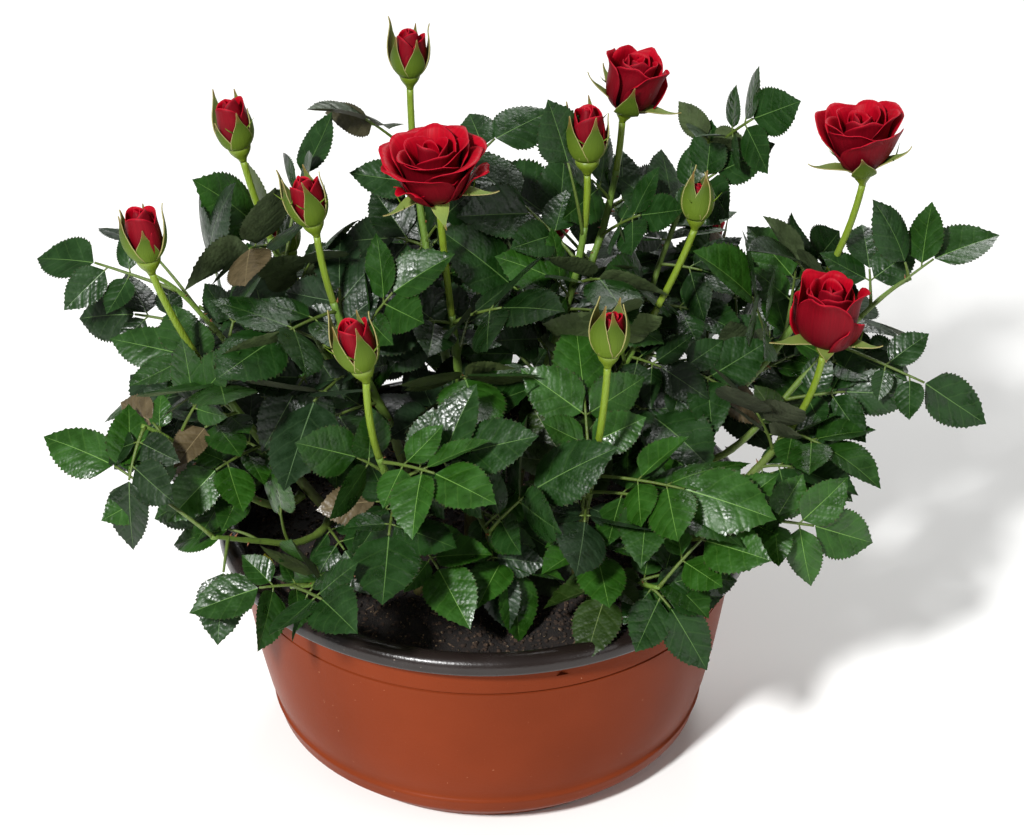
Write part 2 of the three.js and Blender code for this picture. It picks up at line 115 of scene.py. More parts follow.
# Leafy side shoots: the cane each leaves, where along it, and where it ends.
SIDE_SHOOTS = {
    "wing_upper_left": ("upper_left", 0.27, (-158, 0, 252)),
    "wing_left": ("left", 0.27, (-160, -62, 206)),
    "wing_low_left": ("left", 0.16, (-128, -84, 158)),
    "skirt_front_left": ("front_left", 0.2, (-90, -104, 144)),
    "skirt_front": ("centre", 0.14, (2, -78, 156)),
    "skirt_front_right": ("front_right", 0.2, (82, -102, 142)),
    "wing_low_right": ("right_low", 0.2, (130, -74, 162)),
    "wing_right": ("right", 0.26, (204, 2, 250)),
    "crest_right": ("upper_right", 0.27, (112, 62, 290)),
    "wing_rear_left": ("rear_left", 0.26, (-150, 84, 190)),
    "wing_rear_right": ("rear_right", 0.26, (158, 80, 196)),
    "skirt_rear": ("rear", 0.22, (-44, 132, 160)),
}

# The bush is joined into four quarters of foliage.
QUARTERS = {
    "left": ("upper_left", "mid_left", "left", "wing_upper_left", "wing_left", "wing_low_left"),
    "front": ("centre", "front_left", "front_right", "skirt_front_left", "skirt_front", "skirt_front_right"),
    "right": ("mid_right", "right_inner", "right", "right_low", "wing_low_right", "wing_right", "crest_right"),
    "rear": (
        "top", "upper_right", "rear_left", "rear", "rear_right",
        "wing_rear_left", "wing_rear_right", "skirt_rear",
    ),
}  # fmt: skip

# Leaves whose tips are drawn to a place of their own, by shoot and number along it. Some are also turned a
# share to the front, and some of those have fewer pairs of leaflets.
AIMED = {
    "wing_left": {
        7: (-172, -100, 161), 1: (-165, -50, 154), 6: (-179, -30, 202), 5: (-115, -70, 250, 0.5, 1),
    },
    "wing_low_left": {6: (-207, -60, 205, 0.4), 3: (-156, -60, 152, 0, 0), 5: (-124, -120, 124, 0.6, 0)},
    "skirt_front_left": {4: (-133, -128, 150, 0.5), 5: (-60, -173, 174), 3: (-89, -118, 178, 0.5)},
    "skirt_front_right": {4: (106, -125, 113), 3: (124, -80, 136), 1: (46, -128, 122, 0.5)},
    "wing_low_right": {5: (187, -85, 153, 0.4), 4: (148, -70, 181)},
    "wing_right": {
        5: (241, 0, 281, 0.7, 1), 7: (191, 0, 291, 0.8, 0), 3: (218, 20, 203), 4: (241, -40, 194, 0.6),
        2: (207, -22, 199, 0.6),
    },
    "wing_rear_right": {7: (177, 45, 256, 0.5), 0: (116, 118, 221, 0.8, 1)},
    "crest_right": {7: (142, 10, 338, 1.0), 5: (139, 40, 302, 1.0), 4: (91, 85, 284, 0.3, 1)},
    "top": {
        7: (-81, 40, 330, -0.5, 1), 5: (31, 105, 301, -0.5, 1), 6: (-66, 60, 281, 0.3, 0),
        4: (-78, 70, 238, 0.3),
    },
    "wing_rear_left": {5: (-146, 55, 270)},
    "wing_upper_left": {5: (-189, 50, 266, -0.8, 0), 4: (-204, 20, 222), 6: (-221, 20, 255, 0.6)},
    "left": {6: (-178, -20, 228, 0.4), 2: (-150, -80, 171, 0.4)},
    "mid_left": {0: (-106, -50, 184, 0.4), 6: (-74, 20, 270, 0.2)},
    "mid_right": {7: (32, 20, 333, 0.8, 0)},
    "upper_left": {6: (-82, 60, 313, -0.4)},
    "rear_left": {5: (-137, 80, 267, 0.3)},
    "right": {7: (135, -5, 283)},
    "right_low": {3: (179, -50, 168), 5: (188, -62, 175, 0.5), 2: (197, -12, 161)},
    "front_left": {0: (-7, -128, 139), 4: (-82, -110, 226, 0.5, 1), 1: (-80, -95, 183, 0.5, 1)},
    "skirt_front": {4: (24, -110, 119)},
    "right_inner": {5: (146, -20, 182, 0.6)},
}  # fmt: skip

# Leaves whose end leaflet has withered.
WITHERED = {
    "wing_left": 6, "upper_left": 7, "left": 0, "right_inner": 5, "wing_rear_right": 4, "front_left": 1,
}  # fmt: skip

# ---- Numbers and vectors ------------------------------------------------------------------------


class Draw:
    """A repeatable source of numbers from 0 to 1, the same one that the solids use."""

    def __init__(self, seed):
        self.state = seed & 0xFFFFFFFF

    def __call__(self, low=0.0, high=1.0):
        self.state = (self.state * 1664525 + 1013904223) & 0xFFFFFFFF
        return low + (high - low) * self.state / 4294967296


def vec(*values):
    return np.array(values, float)


def unit(v):
    return v / max(np.linalg.norm(v), 1e-12)


def across(v, way):
    """The part of v square to way, as a unit vector."""
    return unit(v - way * np.dot(v, way))


def turned(v, axis, angle):
    """v turned about a unit axis by an angle in radians."""
    c, s = math.cos(angle), math.sin(angle)
    return v * c + np.cross(axis, v) * s + axis * np.dot(axis, v) * (1 - c)


def ease(low, high, x):
    share = np.clip((x - low) / (high - low), 0, 1)
    return share * share * (3 - 2 * share)


class Bezier:
    """A cubic curve through its first and last points."""

    def __init__(self, *points):
        self.points = [np.asarray(p, float) for p in points]
        line = np.array([self.at(t) for t in np.linspace(0, 1, 201)])
        self.length = float(np.linalg.norm(np.diff(line, axis=0), axis=1).sum())

    def at(self, t):
        a, b, c, d = self.points
        s = 1 - t
        return s**3 * a + 3 * s * s * t * b + 3 * s * t * t * c + t**3 * d

    def way(self, t):
        return unit(self.at(min(1, t + 1e-4)) - self.at(max(0, t - 1e-4)))


# ---- Meshes and pieces --------------------------------------------------------------------------


class Shell:
    """The points and faces of a piece as it grows. mark is a number at each point that a finish may read."""

    def __init__(self):
        self.points, self.faces, self.finish, self.uv, self.mark = [], [], [], [], []
        self.count = 0

    def add(self, points, faces, finish=0, uv=None, mark=0.0):
        points = np.asarray(points, float).reshape(-1, 3)
        self.points.append(points)
        self.faces += [[i + self.count for i in face] for face in faces]
        self.finish += list(finish) if isinstance(finish, (list, np.ndarray)) else [finish] * len(faces)
        self.uv.append(np.zeros((len(points), 2)) if uv is None else np.asarray(uv, float).reshape(-1, 2))
        self.mark.append(np.broadcast_to(np.asarray(mark, float), (len(points),)))
        self.count += len(points)

    def mesh(self, name, materials=(), crease=None):
        """The piece's mesh, smooth apart from edges that turn by more than crease degrees."""
        mesh = bpy.data.meshes.new(name)
        mesh.from_pydata((np.concatenate(self.points) * MM).tolist(), [], self.faces)
        for material in materials:
            mesh.materials.append(material)
        mesh.polygons.foreach_set("material_index", self.finish)
        mesh.polygons.foreach_set("use_smooth", [True] * len(self.faces))
        corners = np.empty(len(mesh.loops), np.int32)
        mesh.loops.foreach_get("vertex_index", corners)
        layer = mesh.uv_layers.new(name="UVMap")
        layer.data.foreach_set("uv", np.concatenate(self.uv)[corners].astype(np.float32).ravel())
        put_values(mesh, "mark", "FLOAT", "POINT", np.concatenate(self.mark))
        mesh.update()
        if crease is not None:
            mesh.set_sharp_from_angle(angle=math.radians(crease))
        return mesh


def put_values(mesh, name, kind, domain, values):
    """A number or vector at each point or face of a mesh."""
    field = "vector" if kind == "FLOAT_VECTOR" else "value"
    numbers = np.asarray(values, np.int32 if kind == "INT" else np.float32)
    mesh.attributes.new(name, kind, domain).data.foreach_set(field, numbers.ravel())


def grid_faces(rows, columns, round_off=False):
    """Quads over a grid of points, row by row. round_off joins the last column to the first."""
    wide = columns if round_off else columns - 1
    corners = [(i * columns + j, i * columns + (j + 1) % columns) for i in range(rows - 1) for j in range(wide)]
    return [[a, b, b + columns, a + columns] for a, b in corners]


def fan(hub, first, around, flip=False):
    """Triangles between one point and a ring of points that starts at first."""
    sides = [(first + k, first + (k + 1) % around) for k in range(around)]
    return [[hub, b, a] if flip else [hub, a, b] for a, b in sides]


def ring_stack(rows, around, downward=False):
    """Faces over a stack of rings that is closed on two more points, one before the first ring and one past
    the last. The rings rise, unless downward."""
    count = rows * around
    sides = grid_faces(rows, around, True)
    if downward:
        sides = [face[::-1] for face in sides]
    return sides + fan(count, 0, around, not downward) + fan(count + 1, count - around, around, downward)


def link(name, data):
    obj = bpy.data.objects.new(name, data)
    bpy.context.scene.collection.objects.link(obj)
    return obj


def settle(name, mesh, nodes):
    """A finished piece, which rides on the root body and stands for its CAD nodes."""
    obj = link(name, mesh)
    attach(obj, "root")
    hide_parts(*nodes)


def tube(shell, path, radii, sides=8, finish=0, mark=0.0, relief=0.0, draw=None):
    """A limb round a path of points, closed at both ends. relief roughens its radius by that share."""
    path = np.asarray(path, float)
    radii = np.broadcast_to(np.asarray(radii, float), (len(path),))
    ways = np.gradient(path, axis=0)
    ways /= np.maximum(np.linalg.norm(ways, axis=1, keepdims=True), 1e-12)
    side = across(vec(1, 0, 0) if abs(ways[0][0]) < 0.9 else vec(0, 1, 0), ways[0])
    angles = np.arange(sides) * 2 * math.pi / sides
    rings = []
    for centre, way, radius in zip(path, ways, radii):
        side = across(side, way)
        other = np.cross(way, side)
        rough = 1.0
        if relief:
            rough = 1 + relief * np.array([draw(-1, 1) for _ in range(sides)])
        r = (radius * rough) * np.ones(sides)
        rings.append(centre + np.outer(np.cos(angles) * r, side) + np.outer(np.sin(angles) * r, other))
    faces = grid_faces(len(path), sides, True)
    faces.append(list(range(sides))[::-1])
    faces.append([(len(path) - 1) * sides + k for k in range(sides)])
    marks = np.repeat(np.broadcast_to(np.asarray(mark, float), (len(path),)), sides)
    shell.add(np.concatenate(rings), faces, finish, mark=marks)


def lathe(shell, profile, around, finish=0, shape=None):
    """A closed ring of [radius, height] pairs turned about the upright axis, with the solid on the left.
    Ends that lie on the axis close on one point. shape may move the points, given their angle."""
    profile = np.asarray(profile, float)
    r, z = profile[1:-1, :1], profile[1:-1, 1:]
    angles = np.arange(around) * 2 * math.pi / around
    points = np.stack([r * np.cos(angles), r * np.sin(angles), z * np.ones(around)], axis=-1)
    if shape:
        points = shape(points, angles)
    hubs = [[0, 0, profile[0][1]], [0, 0, profile[-1][1]]]
    shell.add(np.concatenate([points.reshape(-1, 3), hubs]), ring_stack(len(r), around), finish)


# ---- Finishes -----------------------------------------------------------------------------------


def tone(value):
    """A colour written in six hex digits, in linear light."""
    parts = [int(value[i : i + 2], 16) / 255 for i in (0, 2, 4)]
    return tuple(p / 12.92 if p <= 0.04045 else ((p + 0.055) / 1.055) ** 2.4 for p in parts) + (1.0,)


def full(color):
    return tuple(color)[:3] + (1.0,)


def add_node(tree, kind, inputs=None, **settings):
    """A node with its settings, and its inputs given as values or as sockets to link."""
    node = tree.nodes.new(kind)
    for name, value in settings.items():
        setattr(node, name, value)
    for key, value in (inputs or {}).items():
        if isinstance(value, bpy.types.NodeSocket):
            tree.links.new(value, node.inputs[key])
        else:
            node.inputs[key].default_value = value
    return node


def remap(tree, value, low, high, start=0.0, end=1.0, **settings):
    """A value from low to high drawn onto start to end, and held there beyond them."""
    inputs = {"Value": value, "From Min": low, "From Max": high, "To Min": start, "To Max": end}
    return add_node(tree, "ShaderNodeMapRange", inputs, **settings).outputs["Result"]


def mixed(tree, share, first, second):
    """A colour that goes from the first to the second by a share."""
    return add_node(tree, "ShaderNodeMix", {"Factor": share, 6: first, 7: second}, data_type="RGBA").outputs[2]


def worked_out(tree, operation, *values, **settings):
    return add_node(tree, "ShaderNodeMath", dict(enumerate(values)), operation=operation, **settings).outputs[0]


def coordinates(tree, kind):
    return add_node(tree, "ShaderNodeTexCoord").outputs[kind]


def stretched(tree, place, scale):
    return add_node(tree, "ShaderNodeMapping", {"Vector": place, "Scale": scale}).outputs[0]


def noise(tree, place, scale, detail):
    inputs = {"Vector": place, "Scale": scale, "Detail": detail}
    return add_node(tree, "ShaderNodeTexNoise", inputs).outputs["Fac"]


def bumped(tree, height, strength, distance):
    inputs = {"Height": height, "Strength": strength, "Distance": distance}
    return add_node(tree, "ShaderNodeBump", inputs).outputs["Normal"]


def shader_group(name, inputs, outputs, build):
    """A shader group made once: build gets the tree and its input sockets and returns the output sockets."""
    if name in bpy.data.node_groups:
        return bpy.data.node_groups[name]
    tree = bpy.data.node_groups.new(name, "ShaderNodeTree")
    for label, kind, default in inputs:
        socket = tree.interface.new_socket(label, in_out="INPUT", socket_type=kind)
        socket.default_value = default
    for label, kind in outputs:
        tree.interface.new_socket(label, in_out="OUTPUT", socket_type=kind)
    source = tree.nodes.new("NodeGroupInput")
    sink = tree.nodes.new("NodeGroupOutput")
    for label, socket in build(tree, source.outputs).items():
        tree.links.new(socket, sink.inputs[label])
    return tree


def mottling():
    """Two tones in soft clouds over a surface, with fine specks of a third."""

    def build(tree, given):
        place = coordinates(tree, "Object")
        clouds = noise(tree, place, given["Cloud scale"], 4.0)
        base = mixed(tree, remap(tree, clouds, 0.35, 0.65), given["Main"], given["Second"])
        dots = noise(tree, place, given["Speck scale"], 2.0)
        lower = worked_out(tree, "SUBTRACT", 0.8, given["Specks"])
        mask = remap(tree, dots, lower, worked_out(tree, "ADD", lower, 0.05))
        return {"Color": mixed(tree, mask, base, given["Speck tone"]), "Clouds": clouds}

    return shader_group(
        "Mottling",
        [
            ("Main", "NodeSocketColor", (0.5, 0.5, 0.5, 1)),
            ("Second", "NodeSocketColor", (0.4, 0.4, 0.4, 1)),
            ("Speck tone", "NodeSocketColor", (0.8, 0.8, 0.8, 1)),
            ("Cloud scale", "NodeSocketFloat", 20.0),
            ("Speck scale", "NodeSocketFloat", 600.0),
            ("Specks", "NodeSocketFloat", 0.0),
        ],
        [("Color", "NodeSocketColor"), ("Clouds", "NodeSocketFloat")],
        build,
    )


def grain():
    """Fine relief that follows a surface."""

    def build(tree, given):
        place = stretched(tree, coordinates(tree, "Object"), given["Stretch"])
        return {"Normal": bumped(tree, noise(tree, place, given["Scale"], 5.0), given["Strength"], 0.001)}

    return shader_group(
        "Fine grain",
        [
            ("Scale", "NodeSocketFloat", 800.0),
            ("Strength", "NodeSocketFloat", 0.3),
            ("Stretch", "NodeSocketVector", (1, 1, 1)),
        ],
        [("Normal", "NodeSocketVector")],
        build,
    )


def material(name, color, rough, **sockets):
    """A Principled material with plain sockets, which a maker below may go on to link."""
    mat = bpy.data.materials.get(name) or bpy.data.materials.new(name)
    mat.use_nodes = True
    mat.diffuse_color = full(color)
    plain = {"Base Color": full(color), "Roughness": rough}
    plain.update({label.replace("_", " "): value for label, value in sockets.items()})
    for label, value in plain.items():
        mat.node_tree.nodes["Principled BSDF"].inputs[label].default_value = value
    return mat


def group_in(mat, group, **inputs):
    node = mat.node_tree.nodes.new("ShaderNodeGroup")
    node.node_tree = group
    for label, value in inputs.items():
        node.inputs[label.replace("_", " ")].default_value = value
    return node.outputs


def to_shader(mat, socket, label):
    mat.node_tree.links.new(socket, mat.node_tree.nodes["Principled BSDF"].inputs[label])


def fine_relief(mat, scale, strength, stretch=(1, 1, 1)):
    to_shader(mat, group_in(mat, grain(), Scale=scale, Strength=strength, Stretch=stretch)["Normal"], "Normal")


def moulded_plastic(name, main, second, dust, rough, spread, specular, cloud_scale, specks):
    """Moulded plastic with faint clouds in its colour, dust specks and a slightly uneven gloss."""
    mat = material(name, main, rough, Specular_IOR_Level=specular)
    spots = group_in(
        mat, mottling(), Main=full(main), Second=second, Speck_tone=dust, Cloud_scale=cloud_scale,
        Speck_scale=520.0, Specks=specks,
    )  # fmt: skip
    to_shader(mat, spots["Color"], "Base Color")
    to_shader(mat, remap(mat.node_tree, spots["Clouds"], 0.3, 0.7, rough - spread, rough + spread), "Roughness")
    fine_relief(mat, 900.0, 0.12)
    return mat


def earthy(name, main, second, light, specks):
    """A matt crumbly surface of two dark tones with lighter specks."""
    mat = material(name, main, 0.95)
    spots = group_in(
        mat, mottling(), Main=full(main), Second=second, Speck_tone=light, Cloud_scale=260.0, Speck_scale=700.0,
        Specks=specks,
    )  # fmt: skip
    to_shader(mat, spots["Color"], "Base Color")
    fine_relief(mat, 1400.0, 0.9)
    return mat


def living_bark(name, old, young, rough=0.5):
    """Bark that turns from old to young with the mark at its points, with fine lengthwise streaks."""
    mat = material(name, young, rough)
    tree = mat.node_tree
    mark = add_node(tree, "ShaderNodeAttribute", attribute_name="mark").outputs["Fac"]
    streak = noise(tree, stretched(tree, coordinates(tree, "Object"), (1.0, 1.0, 0.12)), 900.0, 4.0)
    share = worked_out(tree, "ADD", mark, remap(tree, streak, 0.0, 1.0, -0.35, 0.35), use_clamp=True)
    to_shader(mat, mixed(tree, share, full(old), full(young)), "Base Color")
    fine_relief(mat, 1200.0, 0.5, (1, 1, 0.2))
    return mat


def petal_finish(name, heart, body, edge, rough, rim_from=0.965):
    """A petal's colours: the heart tone at its foot, which on the rose petals is a darker painted shade deep in
    the bloom, faint veins along it and another tone at its rim.
    """
    mat = material(name, body, rough, Specular_IOR_Level=0.11)
    tree = mat.node_tree
    place = coordinates(tree, "UV")
    height = add_node(tree, "ShaderNodeSeparateXYZ", {"Vector": place}).outputs["Y"]
    streak = noise(tree, stretched(tree, place, (34.0, 1.6, 1.0)), 1.0, 2.0)
    # Painted shade on the rose petals: from the heart tone low on the petal to the body colour higher up.
    shaded = mixed(tree, remap(tree, height, 0.1, 0.75), full(heart), full(body))
    veined = mixed(tree, remap(tree, streak, 0.3, 0.7, 0.0, 0.26), shaded, full(heart))
    to_shader(mat, mixed(tree, remap(tree, height, rim_from, 1.0), veined, full(edge)), "Base Color")
    to_shader(mat, bumped(tree, streak, 0.35, 0.0006), "Normal")
    return mat


def leaf_veins():
    """Side veins that sweep forward from a midrib, over a map whose x runs along the leaf, and the leaf puffed
    up between them."""

    def build(tree, given):
        place = add_node(tree, "ShaderNodeTexCoord").outputs
        parts = add_node(tree, "ShaderNodeSeparateXYZ", {"Vector": place["UV"]}).outputs
        off = worked_out(tree, "ABSOLUTE", worked_out(tree, "SUBTRACT", parts["Y"], 0.5))
        swept_back = worked_out(tree, "MULTIPLY_ADD", off, -0.8, parts["X"])
        clouds = noise(tree, place["Object"], 130.0, 2.0)
        bent = worked_out(tree, "MULTIPLY_ADD", clouds, 0.09, swept_back)
        wave = worked_out(tree, "PINGPONG", worked_out(tree, "MULTIPLY", bent, given["Veins"]), 0.5)
        between = remap(tree, wave, 0.0, 0.3, interpolation_type="SMOOTHSTEP")
        mesh = add_node(tree, "ShaderNodeTexVoronoi", {"Vector": place["Object"], "Scale": 560.0}).outputs
        ribs = worked_out(tree, "MULTIPLY", between, 0.6)
        cells = worked_out(tree, "MULTIPLY_ADD", mesh["Distance"], -0.8, ribs)
        height = worked_out(tree, "MULTIPLY_ADD", clouds, 1.6, cells)
        return {
            "Normal": bumped(tree, height, given["Relief"], 0.0008),
            "Lines": remap(tree, wave, 0.015, 0.07, 1.0, 0.0),
            "Clouds": clouds,
        }

    return shader_group(
        "Leaf veins",
        [("Veins", "NodeSocketFloat", 4.8), ("Relief", "NodeSocketFloat", 0.5)],
        [("Normal", "NodeSocketVector"), ("Lines", "NodeSocketFloat"), ("Clouds", "NodeSocketFloat")],
        build,
    )


def leaf_face(name, face, vein, rough, spread, relief):
    """One face of a leaf: clouds in its colour and gloss, paler side veins and their relief."""
    mat = material(name, face, rough, Specular_IOR_Level=0.36)
    tree = mat.node_tree
    veins = group_in(mat, leaf_veins(), Relief=relief)
    deep = [part * 0.62 for part in face]
    base = mixed(tree, remap(tree, veins["Clouds"], 0.35, 0.62), full(deep), full(face))
    share = worked_out(tree, "MULTIPLY", veins["Lines"], 0.12)
    to_shader(mat, mixed(tree, share, base, full(vein)), "Base Color")
    to_shader(mat, remap(tree, veins["Clouds"], 0.35, 0.65, rough - spread, rough + spread), "Roughness")
    to_shader(mat, veins["Normal"], "Normal")
    return mat


# ---- Geometry Nodes -----------------------------------------------------------------------------


def nodes_tree(name, inputs):
    """An empty Geometry Nodes tree with a geometry output and named inputs."""
    tree = bpy.data.node_groups.new(name, "GeometryNodeTree")
    for label, kind, default in inputs:
        socket = tree.interface.new_socket(label, in_out="INPUT", socket_type=kind)
        if default is not None:
            socket.default_value = default
    tree.interface.new_socket("Geometry", in_out="OUTPUT", socket_type="NodeSocketGeometry")
    return tree, tree.nodes.new("NodeGroupInput").outputs, tree.nodes.new("NodeGroupOutput")


def instances(tree, points, pieces, rotation, scale, **choice):
    """Instances of a collection's children at points, made real. choice may give an Instance_Index."""
    inputs = {"Collection": pieces, "Separate Children": True, "Reset Children": True}
    inputs = {
        "Points": points,
        "Instance": add_node(tree, "GeometryNodeCollectionInfo", inputs).outputs[0],
        "Pick Instance": True,
        "Rotation": rotation,
        "Scale": scale,
    }
    inputs.update({label.replace("_", " "): value for label, value in choice.items()})
    placed = add_node(tree, "GeometryNodeInstanceOnPoints", inputs)
    return add_node(tree, "GeometryNodeRealizeInstances", {"Geometry": placed.outputs[0]}).outputs[0]


def scatter_tree():
    """Small pieces strewn over a surface, standing on it and turned at random."""
    name = "Strewn pieces"
    if name in bpy.data.node_groups:
        return bpy.data.node_groups[name]
    tree, given, sink = nodes_tree(
        name,
        [
            ("Surface", "NodeSocketGeometry", None),
            ("Pieces", "NodeSocketCollection", None),
            ("Per square metre", "NodeSocketFloat", 1000.0),
            ("Smallest", "NodeSocketFloat", 0.5),
            ("Largest", "NodeSocketFloat", 1.0),
            ("Seed", "NodeSocketInt", 1),
            ("Finish", "NodeSocketMaterial", None),
        ],
    )
    seed = given["Seed"]
    inputs = {"Mesh": given["Surface"], "Density": given["Per square metre"], "Seed": seed}
    points = add_node(tree, "GeometryNodeDistributePointsOnFaces", inputs).outputs
    inputs = {2: given["Smallest"], 3: given["Largest"], "Seed": seed}
    size = add_node(tree, "FunctionNodeRandomValue", inputs, data_type="FLOAT")
    inputs = {0: (0.0, 0.0, 0.0), 1: (0.35, 0.35, 6.283), "Seed": seed}
    spin = add_node(tree, "FunctionNodeRandomValue", inputs, data_type="FLOAT_VECTOR")
    twist = add_node(tree, "FunctionNodeEulerToRotation", {"Euler": spin.outputs[0]})
    inputs = {"Rotation": points["Rotation"], "Rotate By": twist.outputs[0]}
    stand = add_node(tree, "FunctionNodeRotateRotation", inputs, rotation_space="LOCAL")
    real = instances(tree, points["Points"], given["Pieces"], stand.outputs[0], size.outputs[1])
    done = add_node(tree, "GeometryNodeSetMaterial", {"Geometry": real, "Material": given["Finish"]})
    tree.links.new(done.outputs[0], sink.inputs[0])
    return tree


def leaflet_tree(finishes):
    """Leaflets at points. Each point's form picks the blade, and its tint and the blade's part the finish."""
    tree, given, sink = nodes_tree(
        "Leaflets on their stalks",
        [
            ("Feet", "NodeSocketGeometry", None),
            ("Blades", "NodeSocketCollection", None),
            ("Length factor", "NodeSocketFloat", 1.0),
        ],
    )

    def named(label, kind):
        return add_node(tree, "GeometryNodeInputNamedAttribute", {"Name": label}, data_type=kind).outputs[0]

    turn = add_node(tree, "FunctionNodeEulerToRotation", {"Euler": named("turn", "FLOAT_VECTOR")})
    inputs = {0: named("size", "FLOAT_VECTOR"), "Scale": given["Length factor"]}
    size = add_node(tree, "ShaderNodeVectorMath", inputs, operation="SCALE")
    real = instances(
        tree, given["Feet"], given["Blades"], turn.outputs[0], size.outputs[0],
        Instance_Index=named("form", "INT"),
    )  # fmt: skip
    parts = len(finishes[0])
    first = worked_out(tree, "MULTIPLY", named("tint", "INT"), float(parts))
    finish = worked_out(tree, "ADD", first, named("part", "INT"))
    for number, mat in enumerate(mat for mats in finishes for mat in mats):
        inputs = {0: finish, 1: float(number), "Epsilon": 0.3}
        chosen = add_node(tree, "FunctionNodeCompare", inputs, data_type="FLOAT", operation="EQUAL").outputs[0]
        inputs = {"Geometry": real, "Selection": chosen, "Material": mat}
        real = add_node(tree, "GeometryNodeSetMaterial", inputs).outputs[0]
    tree.links.new(real, sink.inputs[0])
    return tree


def grow(name, carrier_mesh, tree, **values):
    """The plain mesh of what a Geometry Nodes tree makes on a carrier mesh."""
    carrier = link(name + "_carrier", carrier_mesh)
    modifier = carrier.modifiers.new("Nodes", "NODES")
    modifier.node_group = tree
    for item in tree.interface.items_tree:
        key = item.name.replace(" ", "_")
        if item.in_out == "INPUT" and key in values:
            modifier[item.identifier] = values[key]
    graph = bpy.context.evaluated_depsgraph_get()
    made = bpy.data.meshes.new_from_object(
        carrier.evaluated_get(graph), preserve_all_data_layers=True, depsgraph=graph
    )
    bpy.data.objects.remove(carrier)
    made.name = name
    if not len(made.polygons):
        raise RuntimeError(f"{name} came out empty")
    return made


def pattern_set(name, meshes):
    """A collection of the shapes that a tree repeats. It stays out of the scene."""
    chosen = bpy.data.collections.new(name)
    for i, mesh in enumerate(meshes):
        chosen.objects.link(bpy.data.objects.new(f"{name}_{i}", mesh))
    return chosen


def drop_patterns(chosen):
    for obj in list(chosen.objects):
        mesh = obj.data
        bpy.data.objects.remove(obj)
        bpy.data.meshes.remove(mesh)
    bpy.data.collections.remove(chosen)


def strew(name, carrier, shapes, many, least, most, seed, finish, nodes):
    """A finished piece of small shapes strewn over a carrier mesh, many to the square metre."""
    patterns = pattern_set(name + "_shape", shapes)
    made = grow(
        name, carrier, scatter_tree(), Pieces=patterns, Per_square_metre=float(many),
        Smallest=least, Largest=most, Seed=seed, Finish=finish,
    )  # fmt: skip
    settle(name, made, nodes)
    drop_patterns(patterns)


# ---- Shoots -------------------------------------------------------------------------------------


def shoot_curves():
    """The centre line of each shoot, by the rule that the solids follow."""
    curves = {}
    for name, shoot in FLOWERING.items():
        start, end = vec(*shoot["foot"], SOIL_Z + GAP), vec(*shoot["head"])
        rise = end[2] - start[2]
        lift, reach = shoot["arch"]
        low = start + vec((end[0] - start[0]) * reach, (end[1] - start[1]) * reach, rise * lift)
        curves[name] = Bezier(start, low, end - unit(vec(*shoot["lean"], 1)) * 0.4 * rise, end)
    for name, (parent, at, head) in SIDE_SHOOTS.items():
        root, along, end = curves[parent].at(at), curves[parent].way(at), vec(*head)
        way = end - root
        out = across(way, along)
        start = root + out * (CANE_R + GAP + STEM_R * 0.35)
        low = start + out * np.linalg.norm(way) * 0.3
        curves[name] = Bezier(start, low, end - vec(way[0] * 0.3, way[1] * 0.3, way[2] * 0.1 + 8), end)
    return curves


CURVES = shoot_curves()


def leafy_stretch(name):
    if name not in FLOWERING:
        return 0.0, 1.0
    return BARE_CANE, 1 - FLOWERING[name]["bare"] / CURVES[name].length


def leaf_plans(name, seed):
    """Where each leaf of a shoot leaves it, which way it reaches, how long it is and which way it faces."""
    flowers, curve, draw = name in FLOWERING, CURVES[name], Draw(seed)
    start, to = leafy_stretch(name)
    count = min(8, max(6, math.floor(curve.length * (to - start) / LEAF_EVERY + 0.5)))
    first = start + 0.03 if flowers else 0.3
    plans = []
    for index in range(count):
        share = index / (count - 1)
        t = first + (to - first - 0.02) * share
        root, along = curve.at(t), curve.way(t)
        plans.append(
            dict(
                root=root,
                along=along,
                side=across(vec(1, 0, 0), along),
                turn=math.radians(index * GOLDEN_TURN + (360 if index == 0 else 20) * draw()),
                outward=unit(vec(root[0], root[1], 0)),
                reach=LEAF_REACH * (0.8 + 0.4 * draw()),
                droop=0.05 + 0.3 * draw(),
                facing=vec(draw() - 0.5, draw() - 0.5, 0),
                size=(0.88 + 0.24 * draw()) * (1.04 - 0.16 * share if flowers else 1),
                pairs=2,
            )
        )
    return plans


def leaf_pose(plan, extra=0.0, scale=1.0):
    """A leaf's end joint, and the ways that it points, spreads and faces."""
    heading = turned(plan["side"], plan["along"], plan["turn"] + math.radians(extra))
    heading = unit(heading * 0.85 + plan["along"] * 0.4 + plan["outward"] * 0.2 + UP * 0.2)
    reach = plan["reach"] * scale
    end = plan["root"] + heading * reach - UP * plan["droop"] * reach
    x = unit(unit(end - plan["root"]) - UP * 0.2)
    z = across(UP * 0.75 + plan["outward"] * 0.35 + plan["facing"], x)
    return end, x, np.cross(z, x), z


def placed_form(plan, corners):
    """The form in which the solids hold a planned leaf: its turn, scale and side leaflets, or None."""

    def held(point):
        return np.min(np.linalg.norm(corners - point, axis=1)) < 0.7

    for turn in LEAF_TURNS:
        for scale in LEAF_SCALES:
            end, x, y, _ = leaf_pose(plan, turn, scale)
            size = plan["size"] * scale
            if not held(end + x * END_LEAFLET * size):
                continue
            joint = end + (plan["root"] - end) * PAIR_BACK * size / np.linalg.norm(plan["root"] - end)
            c, s = math.cos(math.radians(PAIR_TURN)), math.sin(math.radians(PAIR_TURN))
            sides = [held(joint + (x * c + y * s * side) * SIDE_LEAFLET * size) for side in (1, -1)]
            return turn, scale, sides
    return None


# ---- Settings -----------------------------------------------------------------------------------


def color_prop(label, about, value):
    return bpy.props.FloatVectorProperty(
        name=label, description=about, subtype="COLOR", size=3, min=0, max=1, default=tone(value)[:3]
    )


